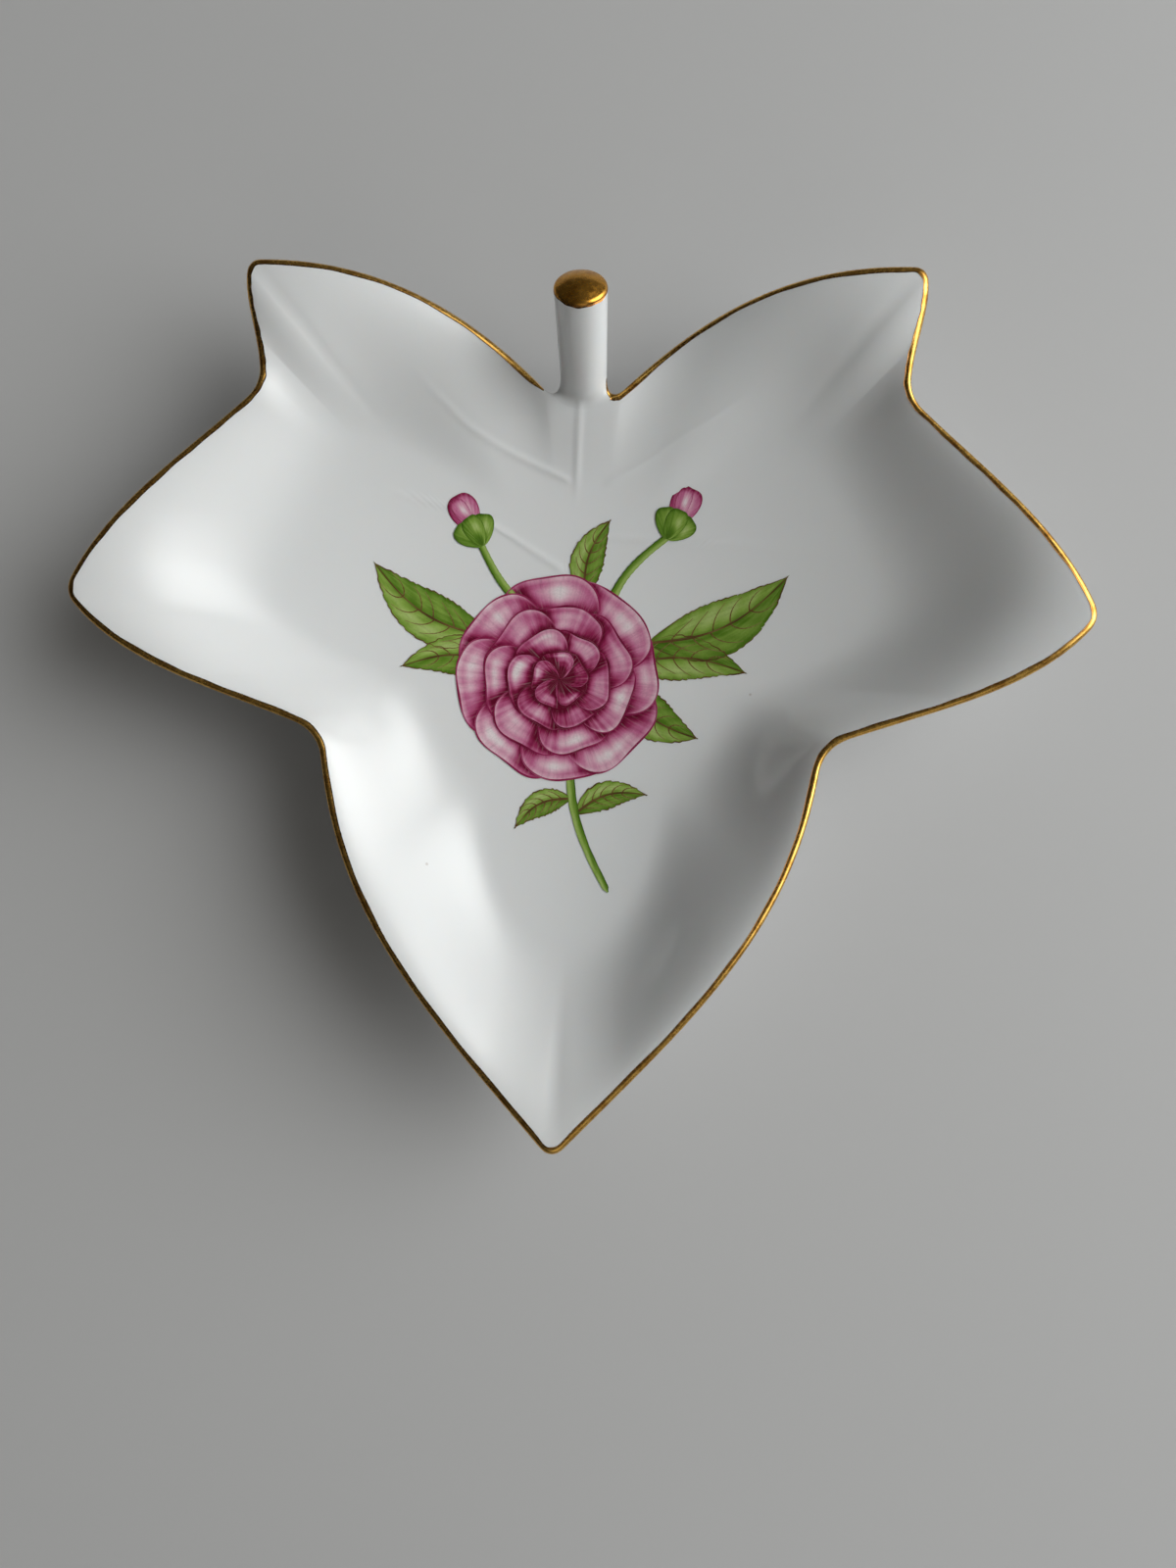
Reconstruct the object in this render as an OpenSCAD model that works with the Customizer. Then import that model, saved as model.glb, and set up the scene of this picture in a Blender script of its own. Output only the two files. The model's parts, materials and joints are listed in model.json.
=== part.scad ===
// Five-lobed leaf dish in glazed porcelain: a shallow leaf-shaped well on a round foot ring, a stem
// handle rising from the top notch, a gilded lip, a gilded stem end and a printed flower spray.
// Z is up, the foot stands on Z = 0, the stem points to +Y and X = 0 is the plane of symmetry.

/* [Leaf] */
// Width across the two side tips, before they are rounded off
leaf_w = 166.5; // [140:0.5:190]
// Length from the bottom tip to the two top tips, before they are rounded off
leaf_l = 144; // [122:0.5:165]
// Height of the lip at the five tips
tip_h = 25.5; // [20:0.5:32]
// Height of the lip in the four side notches
notch_h = 21; // [17:0.5:26]
// Height of the lip at the stem notch
stem_notch_h = 13.5; // [12.5:0.5:17]
// Thickness of the floor
floor_t = 3; // [2.4:0.1:4]
// Thickness of the wall at the lip
lip_t = 2.1; // [1.6:0.1:2.8]

/* [Lip corners] */
// Length of lip that each corner of the stem notch rounds off
stem_notch_round = 1.3; // [0.8:0.1:1.6]
// Length of lip that each top tip rounds off
top_tip_round = 1.8; // [1:0.1:4]
// Length of lip that each upper side notch rounds off
top_notch_round = 2.6; // [1.5:0.1:5]
// Length of lip that each side tip rounds off
side_tip_round = 2.4; // [1.5:0.1:5]
// Length of lip that each lower notch rounds off
waist_round = 4.6; // [2.5:0.1:7]
// Length of lip that the bottom tip rounds off
bottom_tip_round = 3; // [1.5:0.1:6]

/* [Well] */
// Radius that the floor of the well is hollowed to
hollow_r = 215; // [190:5:300]
// Reach of the well between the lobes, from its middle to the foot of the wall
well_r = 26.5; // [25:0.5:29]
// How much further the well runs out under each pair of upper lobes
side_pocket_l = 24; // [14:0.5:28]
// How much further the well runs out under the bottom lobe
bottom_pocket_l = 22; // [14:0.5:28]

/* [Foot ring] */
// Outer diameter of the foot ring
foot_d = 47; // [40:1:48]
// Width of the foot ring where it joins the floor
foot_w = 4; // [3:0.1:6]
// Width of the bare face that the dish stands on
foot_face_w = 2; // [1.2:0.1:2.6]
// Height of the floor's underside in the middle of the foot ring
foot_h = 3; // [2:0.1:5]
// Seam between the foot ring and the underside
foot_seam = 0.03; // [0.02:0.01:0.1]

/* [Stem handle] */
// Diameter of the stem at its root
stem_root_d = 7.8; // [6:0.1:7.9]
// Diameter of the stem at its free end
stem_end_d = 8.6; // [6:0.1:9.5]
// Length of the stem from the lip to the rim of its end
stem_l = 20; // [14:0.5:28]
// Rise of the stem above the table, in degrees
stem_rise = 60; // [50:1:70]
// Length of the root that grips the outside of the wall
stem_root_l = 1.2; // [0.8:0.1:3]
// Height of the dome on the stem's end
stem_dome_h = 1.2; // [0.6:0.1:2]
// How far the stem stands proud of the wall inside the dish
stem_proud = 0.8; // [0.6:0.1:1.2]

/* [Gilding] */
// Thickness of the gold
gilt_t = 0.1; // [0.06:0.01:0.2]
// Gap between the stem and the end of the gold line
gilt_gap = 0.35; // [0.2:0.05:0.6]
// Length of the gold down the side of the stem's end
gilt_skirt = 0.7; // [0.4:0.1:2]

/* [Flower print] */
// Thickness of one printed colour
print_t = 0.1; // [0.06:0.01:0.15]
// Diameter of the open flower
bloom_d = 38; // [28:1:40]
// Width of the flower stalks
stalk_w = 1.7; // [1:0.1:2.4]
// Width of the fine lines on petals and leaves
line_w = 0.55; // [0.35:0.05:0.9]
// Length of the two buds
bud_l = 10; // [8:0.5:12]

/* [Hidden] */
$fn = 64;
overrun = 1;

// Outline of the lip. The six nodes run clockwise down the right half, from the corner of the stem
// notch over top tip, upper notch, side tip and lower notch to the bottom tip. All shares are of half
// the leaf's width and half its length. Each leaving and reaching handle starts at its own node.
half_w = leaf_w / 2;
half_l = leaf_l / 2;
node_shares = [[0.0726, 0.7636], [0.655, 1], [0.645, 0.732], [1, 0.235], [0.497, -0.064], [0, -1]];
leave_shares = [[0.155, 0.177], [0.025, -0.075], [0.112, -0.13], [-0.11, -0.17], [-0.035, -0.405]];
reach_shares = [[-0.2675, 0.0133], [-0.01, 0.1], [-0.063, 0.196], [0.207, 0.096], [0.278, 0.347]];
centre_share = 0.14;
node_heights = [stem_notch_h, tip_h, notch_h, tip_h, notch_h, tip_h];
centre = [0, centre_share * half_l];

edge_steps = 11;
corner_steps = 4;
floor_steps = 6;
wall_steps = 9;

function place(share, h) = [share.x * half_w, share.y * half_l, h];
function mirrored(p) = [-p.x, p.y, p.z];
rim_nodes = [for (i = [0:5]) place(node_shares[i], node_heights[i])];
right_edges = [for (i = [0:4]) [
    rim_nodes[i],
    rim_nodes[i] + place(leave_shares[i], 0),
    rim_nodes[i + 1] + place(reach_shares[i], 0),
    rim_nodes[i + 1]
]];
left_edges = [for (i = [4:-1:0]) [for (k = [3:-1:0]) mirrored(right_edges[i][k])]];
edges = concat(right_edges, left_edges);
right_rounds = [stem_notch_round, top_tip_round, top_notch_round, side_tip_round, waist_round];
rounds = concat(right_rounds, [bottom_tip_round], [for (i = [4:-1:0]) right_rounds[i]]);

function cubic(p, t) = pow(1 - t, 3) * p[0] + 3 * pow(1 - t, 2) * t * p[1]
    + 3 * (1 - t) * t * t * p[2] + pow(t, 3) * p[3];
function quadratic(a, b, c, t) = pow(1 - t, 2) * a + 2 * (1 - t) * t * b + t * t * c;
function edge_start(i) = rounds[i] / (3 * norm(edges[i][1] - edges[i][0]));
function edge_end(i) = 1 - rounds[i + 1] / (3 * norm(edges[i][3] - edges[i][2]));
function on_edge(i, share) = cubic(edges[i], edge_start(i) + (edge_end(i) - edge_start(i)) * share);

// The lip is straight across the stem notch, where the stem sits between the two seat points
seat_half = stem_root_d / 2 + gilt_gap;
notch_corner = rim_nodes[0];
notch_end = [notch_corner.x - stem_notch_round, notch_corner.y, notch_corner.z];
function corner_from(j) = j == 0 ? notch_end : on_edge(j - 1, 1);
function corner_to(j) = j == 10 ? mirrored(notch_end) : on_edge(j, 0);
function corner_node(j) = j == 10 ? mirrored(notch_corner) : edges[j][0];
function corner(j) = [for (k = [(j == 0 ? 0 : 1):corner_steps - (j == 10 ? 0 : 1)])
    quadratic(corner_from(j), corner_node(j), corner_to(j), k / corner_steps)];
function edge(i) = [for (k = [0:edge_steps]) on_edge(i, k / edge_steps)];
function seat(share) = [seat_half * share, notch_corner.y, notch_corner.z];
rim = concat(
    [seat(0), seat(0.5), seat(1)],
    [for (i = [0:9]) each concat(corner(i), edge(i))],
    corner(10),
    [seat(-1), seat(-0.5)]
);
rim_count = len(rim);
last = rim_count - 1;
function wrap(i) = (i + rim_count) % rim_count;

// Every point of the lip sees the middle of the well along its own ray
rays = [for (p = rim) [p.x, p.y] - centre];
reaches = [for (r = rays) norm(r)];
dirs = [for (i = [0:last]) rays[i] / reaches[i]];
function bearing(p) = atan2(p.y - centre.y, p.x);
function squareness(i) = let(
    run = rim[wrap(i + 1)] - rim[wrap(i - 1)],
    flat_run = [run.x, run.y])
    max(abs(cross(flat_run / norm(flat_run), dirs[i])), 0.5);
square_on = [for (i = [0:last]) squareness(i)];

// The well is round and runs out into three pockets, one under each pair of upper lobes and one under
// the bottom lobe. A swell is whole out to its core angle and has died away at its edge angle.
side_core_angle = 14;
side_edge_angle = 40;
bottom_edge_angle = 40;
function gap_angle(a, b) = abs((a - b + 540) % 360 - 180);
function swell(a, middle, core, edge) = let(g = gap_angle(a, middle))
    g <= core ? 1 : g >= edge ? 0 : (1 + cos(180 * (g - core) / (edge - core))) / 2;
side_bearing = (bearing(rim_nodes[1]) + bearing(rim_nodes[3])) / 2;
function well_reach(a) = well_r + bottom_pocket_l * swell(a, -90, 0, bottom_edge_angle)
    + side_pocket_l * swell(a, side_bearing, side_core_angle, side_edge_angle)
    + side_pocket_l * swell(a, 180 - side_bearing, side_core_angle, side_edge_angle);
bearings = [for (d = dirs) atan2(d.y, d.x)];
wells = [for (a = bearings) well_reach(a)];

// The lip's corners die out down the wall, where it follows the same outline smoothed over an angle.
// The tips die out fast, within a narrow shelf, and the notches more slowly.
soft_edge_angle = 22;
tip_power = 8;
notch_power = 2.4;
spans = [for (i = [0:last]) gap_angle(bearings[wrap(i + 1)], bearings[wrap(i - 1)])];
ones = [for (i = [0:last]) 1];
function soft_reach(a) = let(
    weights = [for (j = [0:last]) spans[j] * swell(a, bearings[j], 0, soft_edge_angle)])
    (weights * reaches) / (weights * ones);

// The floor is part of a ball. Along one ray the wall leaves the ball on its tangent, which eases off up
// the bottom lobe, is steepest part way up and is gentler again at the lip
floor_top = foot_h + floor_t;
function hollow(r) = hollow_r - sqrt(hollow_r * hollow_r - r * r);
function hollow_slope(r) = r / sqrt(hollow_r * hollow_r - r * r);
function upright_floor_t(r) = floor_t * sqrt(1 + pow(hollow_slope(r), 2));
lip_ease_share = 0.4;
foot_power = 2.5;
early = foot_power + 1 - lip_ease_share;
late = lip_ease_share - foot_power;
function climb(t) = early * pow(t, foot_power) + late * pow(t, foot_power + 1);
function climb_rate(t) = early * foot_power * pow(t, foot_power - 1)
    + late * (foot_power + 1) * pow(t, foot_power);
function bottom_swell(i) = swell(bearings[i], -90, 0, bottom_edge_angle);
function lead(i, t) = t - bottom_swell(i) * pow(t, 3) / 3;
function lead_rate(i, t) = 1 - bottom_swell(i) * t * t;
nose = [for (s = square_on) lip_t / 2 / s];
soft_w = [for (i = [0:last]) soft_reach(bearings[i]) - nose[i] - wells[i]];
sharp_w = [for (i = [0:last]) reaches[i] - nose[i] - wells[i] - soft_w[i]];
function sharp_power(i) = sharp_w[i] > 0 ? tip_power : notch_power;
function wall_run(i, t) = soft_w[i] * t + sharp_w[i] * pow(t, sharp_power(i));
function wall_run_rate(i, t) = soft_w[i] + sharp_w[i] * sharp_power(i) * pow(t, sharp_power(i) - 1);
function run_at(i, t) = wells[i] + wall_run(i, t);
function ramp(i) = hollow_slope(wells[i]) * soft_w[i];
function rise(i) = rim[i].z - floor_top - hollow(wells[i]) - ramp(i) * lead(i, 1);
function slope(i, t) = (ramp(i) * lead_rate(i, t) + rise(i) * climb_rate(t)) / wall_run_rate(i, t);
function wall_z(i, t) = floor_top + hollow(wells[i]) + ramp(i) * lead(i, t) + rise(i) * climb(t);
function wall_t(t) = floor_t + (lip_t - floor_t) * t;
function upright_t(i, t) = let(steep = slope(i, t) / (1 + (square_on[i] - 1) * t * t))
    wall_t(t) * sqrt(1 + steep * steep);
function at(i, r, z) = [centre.x + dirs[i].x * r, centre.y + dirs[i].y * r, z];
function inside_point(i, t) = at(i, run_at(i, t), wall_z(i, t));
function outside_point(i, t) = inside_point(i, t) - [0, 0, upright_t(i, t)];
function floor_point(i, share) = let(r = wells[i] * share) at(i, r, floor_top + hollow(r));
function under_point(i, share) = floor_point(i, share) - [0, 0, upright_floor_t(wells[i] * share)];

// The lip's nose is half an ellipse sheared to the slope of the wall; grow stands it proud for the gold
function nose_point(i, a, grow = 0) = let(
    half_t = upright_t(i, 1) / 2,
    out = (nose[i] + grow) * sin(a))
    at(i, run_at(i, 1) + out, rim[i].z - half_t + (half_t + grow) * cos(a) + slope(i, 1) * out);
nose_step_angle = 36;

// The steps up the wall are closest at the lip
function wall_share(k) = sin(90 * k / wall_steps);
function inside_line(i, first = 0) = concat(
    [for (k = [1:floor_steps - 1]) if (first == 0) floor_point(i, k / floor_steps)],
    [for (k = [first:wall_steps]) inside_point(i, wall_share(k))],
    [nose_point(i, nose_step_angle), nose_point(i, 2 * nose_step_angle)]);
function outside_line(i, first = 0) = concat(
    [for (k = [1:floor_steps - 1]) if (first == 0) under_point(i, k / floor_steps)],
    [for (k = [first:wall_steps]) outside_point(i, wall_share(k))],
    [nose_point(i, 4 * nose_step_angle), nose_point(i, 3 * nose_step_angle)]);

// Two grids of points, the upper and the lower skin of a sheet, with the same rows and columns.
// A closed sheet runs all the way round and is capped at its inner edge by two middle points.
module sheet(upper, lower, middles = []) {
    closed = len(middles) > 0;
    rows = len(upper);
    cols = len(upper[0]);
    under = rows * cols;
    function u(i, k) = (i % rows) * cols + k;
    function l(i, k) = under + (i % rows) * cols + k;
    row_last = closed ? rows - 1 : rows - 2;
    end = rows - 1;
    faces = concat(
        [for (i = [0:row_last], k = [0:cols - 2]) each [
            [u(i, k), u(i, k + 1), u(i + 1, k + 1)],
            [u(i, k), u(i + 1, k + 1), u(i + 1, k)],
            [l(i, k), l(i + 1, k + 1), l(i, k + 1)],
            [l(i, k), l(i + 1, k), l(i + 1, k + 1)]
        ]],
        [for (i = [0:row_last]) each [
            [u(i, cols - 1), l(i, cols - 1), l(i + 1, cols - 1)],
            [u(i, cols - 1), l(i + 1, cols - 1), u(i + 1, cols - 1)]
        ]],
        closed ? [for (i = [0:row_last]) each [
            [u(i, 0), u(i + 1, 0), 2 * under],
            [l(i + 1, 0), l(i, 0), 2 * under + 1]
        ]] : concat(
            [for (i = [0:row_last]) each [
                [u(i, 0), l(i + 1, 0), l(i, 0)],
                [u(i, 0), u(i + 1, 0), l(i + 1, 0)]
            ]],
            [for (k = [0:cols - 2]) each [
                [u(0, k), l(0, k), l(0, k + 1)],
                [u(0, k), l(0, k + 1), u(0, k + 1)],
                [u(end, k), u(end, k + 1), l(end, k + 1)],
                [u(end, k), l(end, k + 1), l(end, k)]
            ]])
    );
    polyhedron(points = concat([for (row = upper) each row], [for (row = lower) each row], middles),
        faces = faces, convexity = 8);
}

module leaf_body() {
    color("whitesmoke")
        sheet([for (i = [0:last]) inside_line(i)], [for (i = [0:last]) outside_line(i)],
            [[centre.x, centre.y, floor_top], [centre.x, centre.y, foot_h]]);
}

module foot_ring() {
    outer = foot_d / 2;
    inner = outer - foot_w;
    taper = (foot_w - foot_face_w) / 2;
    function top(r) = floor_top + hollow(r) - upright_floor_t(r) - foot_seam;
    color("linen")
        translate([centre.x, centre.y, 0])
            rotate_extrude()
                polygon([
                    [inner, top(inner)],
                    [inner + taper, 0],
                    [outer - taper, 0],
                    [outer, top(outer)]
                ]);
}

// The stem's axis leaves the lip so that its inner side stands proud of the wall by stem_proud
stem_across = [0, -sin(stem_rise), cos(stem_rise)];
lip_inside = nose_point(0, 0);
stem_at = lip_inside - stem_across * (stem_root_d / 2 - stem_proud);

module on_stem() {
    translate(stem_at)
        rotate([stem_rise - 90, 0, 0])
            children();
}

// Half section of the stem, standing on the root's round end; grow makes the gold's outer skin
module stem_section(grow = 0) {
    root_r = stem_root_d / 2 + grow;
    end_r = stem_end_d / 2 + grow;
    dome_h = stem_dome_h + grow / 2;
    dome_r = (end_r * end_r + dome_h * dome_h) / (2 * dome_h);
    top = stem_l + grow / 2;
    polygon([
        [0, -stem_root_l],
        [root_r, -stem_root_l],
        [root_r, 0],
        [end_r, top],
        [0, top]
    ]);
    translate([0, -stem_root_l])
        intersection() {
            circle(r = root_r);
            translate([0, -root_r])
                square([root_r, root_r]);
        }
    intersection() {
        translate([0, top + dome_h - dome_r])
            circle(r = dome_r);
        translate([0, top])
            square([end_r, dome_h + overrun]);
    }
}

// The wall around the stem notch, which the stem's root is coped to fit
module notch_wall() {
    first = 3;
    reach = 4;
    rows = [for (i = [-reach:reach]) wrap(i)];
    sheet([for (i = rows) inside_line(i, first)], [for (i = rows) outside_line(i, first)]);
}

module stem_handle() {
    color("whitesmoke")
        difference() {
            on_stem()
                rotate_extrude()
                    stem_section();
            notch_wall();
        }
}

// The gold runs over the nose of the lip, from the stem's right side to the notch's left corner
module gilt_rim() {
    skin = [for (k = [0:3]) k * nose_step_angle];
    rows = [for (i = [2:rim_count - 2 - corner_steps]) i];
    color("goldenrod")
        sheet([for (i = rows) [for (a = skin) nose_point(i, a, gilt_t)]],
            [for (i = rows) [for (a = skin) nose_point(i, a)]]);
}

module gilt_stem_cap() {
    color("goldenrod")
        on_stem()
            rotate_extrude()
                difference() {
                    intersection() {
                        stem_section(gilt_t);
                        translate([0, stem_l - gilt_skirt])
                            square([stem_end_d, stem_end_d]);
                    }
                    stem_section();
                }
}

// Spots in the print are given by a bearing from the middle of the well and a share of the way from
// there to the foot of the wall
function in_well(spot) = centre + well_reach(spot[0]) * spot[1] * [cos(spot[0]), sin(spot[0])];

// A printed colour is one layer on the hollow of the floor, cut to its outline; the ball's poles lie level
ball_steps = 240;
module printed(layer = 0) {
    intersection() {
        translate([0, 0, foot_h])
            linear_extrude(tip_h)
                children();
        translate([centre.x, centre.y, floor_top + hollow_r])
            rotate([90, 0, 0])
                difference() {
                    sphere(r = hollow_r - layer * print_t, $fn = ball_steps);
                    sphere(r = hollow_r - (layer + 1) * print_t, $fn = ball_steps);
                }
    }
}

// Curve from one spot to another that bows to its left by a share of its length
function bow_point(a, b, bow, t) = let(run = b - a) a + run * t + [-run.y, run.x] * bow * sin(180 * t);
function bow_side(a, b, bow, t) = let(
    run = b - a,
    way = run + [-run.y, run.x] * bow * PI * cos(180 * t))
    [-way.y, way.x] / norm(way);

// Both margins of a shape along a bowed midline, with its half widths given at each step
module along(a, b, bow, half_widths) {
    n = len(half_widths) - 1;
    middle = [for (k = [0:n]) bow_point(a, b, bow, k / n)];
    sides = [for (k = [0:n]) bow_side(a, b, bow, k / n) * half_widths[k]];
    polygon(concat(middle + sides, [for (k = [n:-1:0]) middle[k] - sides[k]]));
}

module line(a, b, bow, w_start, w_end, steps = 8) {
    along(a, b, bow, [for (k = [0:steps]) (w_start + (w_end - w_start) * k / steps) / 2]);
}

// Leaf blades: root spot, tip spot, bow share and width share of each
blade_shares = [
    [[-6, 0.25], [-3, 0.86], 0.1, 0.36],
    [[16, 0.25], [23, 0.78], -0.12, 0.36],
    [[-24, 0.3], [-31, 0.96], -0.1, 0.44],
    [[166, 0.3], [156, 0.78], 0.12, 0.36],
    [[190, 0.4], [184, 0.93], -0.12, 0.36],
    [[-89, 0.56], [-60, 0.9], 0.14, 0.36],
    [[-89, 0.5], [-108, 0.8], -0.16, 0.4],
    [[84, 0.4], [78, 0.96], 0.12, 0.4]
];

// Stalks: root spot, end spot, bow share of each. Buds: root spot and the way each one points.
stalk_shares = [
    [[40, 0.1], [55, 0.74], 0.12],
    [[120, 0.2], [131, 0.6], 0.1],
    [[-90, 0.2], [-80, 0.9], -0.1]
];
bud_shares = [[[55, 0.72], 64], [[131, 0.58], 120]];
bloom_share = [229, 0.17];
bloom_at = in_well(bloom_share);

// A blade is fullest below its middle and tapers to a point
blade_full_share = 0.85;
blade_steps = 16;
function blade_swell(t) = max(sin(180 * pow(t, blade_full_share)), 0.02);

module blade(b) {
    root = in_well(b[0]);
    tip = in_well(b[1]);
    w = b[3] * norm(tip - root);
    along(root, tip, b[2], [for (k = [0:blade_steps]) blade_swell(k / blade_steps) * w / 2]);
}

// Ribs leave the midrib at these shares of its length and lean towards the tip
rib_shares = [0.2, 0.36, 0.52, 0.68];
midrib_share = 0.94;
rib_lean_share = 0.12;
rib_reach_share = 0.34;
midrib_w = line_w * 1.4;
rib_end_w = line_w * 0.5;

module blade_ribs(b) {
    root = in_well(b[0]);
    tip = in_well(b[1]);
    run = tip - root;
    line(root, bow_point(root, tip, b[2], midrib_share), b[2], midrib_w, rib_end_w);
    for (t = rib_shares, side = [-1, 1]) {
        from = bow_point(root, tip, b[2], t);
        out = bow_side(root, tip, b[2], t) * side * norm(run) * b[3] * rib_reach_share;
        to = from + run * rib_lean_share + out * blade_swell(t);
        line(from, to, -rib_lean_share * side, line_w, rib_end_w, 4);
    }
}

// A petal is egg-shaped, drawn in at its root, broad at its outer end and slightly notched there
petal_step_angle = 15;
petal_full_share = 0.3;
petal_notch_share = 0.05;
function petal_point(l, w_share, a) = l * [
    (1 + cos(a)) / 2 - petal_notch_share * pow(max(cos(a), 0), 12),
    w_share * sin(a) * (1 + petal_full_share * cos(a)) / 2
];

module petal(l, w_share) {
    polygon([for (a = [0:petal_step_angle:360 - petal_step_angle]) petal_point(l, w_share, a)]);
}

module petal_margin(l, w_share) {
    inset = 1 - line_w / l;
    inner_end = 90 - petal_step_angle;
    polygon(concat(
        [for (a = [-90:petal_step_angle:90]) petal_point(l, w_share, a)],
        [for (a = [inner_end:-petal_step_angle:-inner_end]) petal_point(l, w_share, a) * inset]
    ));
}

// Tiers of the open flower from the outside in: count of petals, then as shares of the flower's
// radius where they start and how long they are, then their width share and their turn in degrees
bloom_r = bloom_d / 2;
tier_shares = [
    [8, 0.1, 0.9, 1, 10],
    [7, 0.06, 0.68, 1.05, 34],
    [6, 0.02, 0.48, 1.1, 4],
    [5, 0, 0.28, 1.15, 30]
];
outer_tier = 0;
middle_tier = 1;
inner_tier = 2;
heart_tier = 3;

module at_petal(k, i) {
    tier = tier_shares[k];
    translate(bloom_at)
        rotate(tier[4] + i * 360 / tier[0])
            translate([tier[1] * bloom_r, 0])
                children();
}

module tier_petal(k, i) {
    at_petal(k, i)
        petal(tier_shares[k][2] * bloom_r, tier_shares[k][3]);
}

module tier(k) {
    for (i = [1:tier_shares[k][0]])
        tier_petal(k, i);
    translate(bloom_at)
        circle(r = (tier_shares[k][1] + tier_shares[k][2] / 2) * bloom_r);
}

// Each petal's margin shows up to where the next petal of its tier overlaps it
module tier_margins(k) {
    for (i = [1:tier_shares[k][0]])
        difference() {
            at_petal(k, i)
                petal_margin(tier_shares[k][2] * bloom_r, tier_shares[k][3]);
            tier_petal(k, i + 1);
            tier(k + 1);
        }
}

// A bud is an egg-shaped cone of petals held in three round scales
bud_cone_share = 0.75;
bud_cone_w_share = 0.68;
scale_share = 0.58;
scale_w_share = 0.62;
scale_angles = [-30, 0, 30];

module bud_at(b, share) {
    translate(in_well(b[0]))
        rotate(b[1])
            translate([bud_l * share, 0])
                children();
}

module bud_cup(b) {
    for (angle = scale_angles)
        bud_at(b, 0)
            rotate(angle)
                petal(bud_l * scale_share, scale_w_share);
}

module bud_cups() {
    for (b = bud_shares)
        bud_cup(b);
}

module stalks() {
    for (s = stalk_shares)
        line(in_well(s[0]), in_well(s[1]), s[2], stalk_w, stalk_w * 0.7, 12);
}

module print_outer_petals() {
    color("plum")
        printed(outer_tier)
            tier(outer_tier);
}

module print_middle_petals() {
    color("orchid")
        printed(middle_tier)
            tier(middle_tier);
}

module print_inner_petals() {
    color("mediumorchid")
        printed(inner_tier)
            tier(inner_tier);
}

module print_flower_heart() {
    color("mediumvioletred")
        printed(heart_tier)
            tier(heart_tier);
}

module print_petal_lines() {
    color("palevioletred")
        for (k = [outer_tier:inner_tier])
            printed(k + 1)
                tier_margins(k);
}

module print_buds() {
    color("hotpink")
        printed()
            difference() {
                for (b = bud_shares)
                    bud_at(b, 1 - bud_cone_share)
                        petal(bud_l * bud_cone_share, bud_cone_w_share);
                bud_cups();
            }
}

module print_sepals() {
    color("olivedrab")
        printed()
            bud_cups();
}

module print_stalks() {
    color("darkolivegreen")
        printed()
            difference() {
                stalks();
                tier(outer_tier);
                bud_cups();
            }
}

module print_leaves() {
    color("yellowgreen")
        printed()
            difference() {
                for (b = blade_shares)
                    blade(b);
                tier(outer_tier);
                stalks();
                bud_cups();
            }
}

module print_leaf_ribs() {
    color("darkgreen")
        printed(1)
            difference() {
                for (b = blade_shares)
                    intersection() {
                        blade_ribs(b);
                        blade(b);
                    }
                tier(outer_tier);
                stalks();
            }
}

leaf_body();
foot_ring();
stem_handle();
gilt_rim();
gilt_stem_cap();
print_leaves();
print_leaf_ribs();
print_stalks();
print_sepals();
print_buds();
print_outer_petals();
print_middle_petals();
print_inner_petals();
print_flower_heart();
print_petal_lines();
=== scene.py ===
# A leaf dish in white porcelain: stem handle, gilded lip and a printed camellia spray.
# Lengths in the dictionaries are millimetres, colours are linear, and the meshes are made in metres.
import json
import math
import bpy
import numpy as np
from mathutils import Matrix

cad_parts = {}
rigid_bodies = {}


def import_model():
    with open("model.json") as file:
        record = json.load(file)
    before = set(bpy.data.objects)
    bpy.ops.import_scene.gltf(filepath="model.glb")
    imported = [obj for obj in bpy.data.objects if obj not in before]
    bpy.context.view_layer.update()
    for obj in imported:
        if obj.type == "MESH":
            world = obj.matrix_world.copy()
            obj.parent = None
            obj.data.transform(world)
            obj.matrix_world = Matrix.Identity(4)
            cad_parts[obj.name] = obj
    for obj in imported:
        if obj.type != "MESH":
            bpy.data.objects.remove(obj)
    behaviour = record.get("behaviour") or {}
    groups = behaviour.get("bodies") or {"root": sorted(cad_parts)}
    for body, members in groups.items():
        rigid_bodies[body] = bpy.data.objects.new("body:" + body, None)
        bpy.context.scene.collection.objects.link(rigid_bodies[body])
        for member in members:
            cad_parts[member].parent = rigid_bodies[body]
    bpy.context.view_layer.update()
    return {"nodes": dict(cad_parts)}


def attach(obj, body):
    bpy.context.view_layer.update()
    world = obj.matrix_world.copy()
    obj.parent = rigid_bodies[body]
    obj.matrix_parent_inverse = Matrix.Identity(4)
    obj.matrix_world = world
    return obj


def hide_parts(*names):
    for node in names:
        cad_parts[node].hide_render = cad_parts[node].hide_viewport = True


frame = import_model()
scene = bpy.context.scene
mm = 0.001
print("frame loaded:", len(frame["nodes"]), "solids")


# Small helpers for shapes

def smoothStep(low, high, x):
    t = np.clip((x - low) / (high - low), 0.0, 1.0)
    return t * t * (3.0 - 2.0 * t)


def unit(v):
    return v / np.maximum(np.linalg.norm(v, axis=-1, keepdims=True), 1e-9)


def mixed(a, b, t):
    return np.asarray(a) * (1.0 - t) + np.asarray(b) * t


def bell(x, middle, half):  # 1 at the middle, dying away within about twice the half width
    return np.exp(-((x - middle) / half) ** 2)


def wobble(seed, count, waves):  # a closed, repeatable wander between about -1 and 1
    rng = np.random.default_rng(seed)
    a = np.linspace(0.0, 2.0 * math.pi, count, endpoint=False)
    total = np.zeros(count)
    for k in waves:
        total += rng.normal() * np.cos(k * a + rng.uniform(0.0, 6.28)) / math.sqrt(len(waves))
    return total


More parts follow.
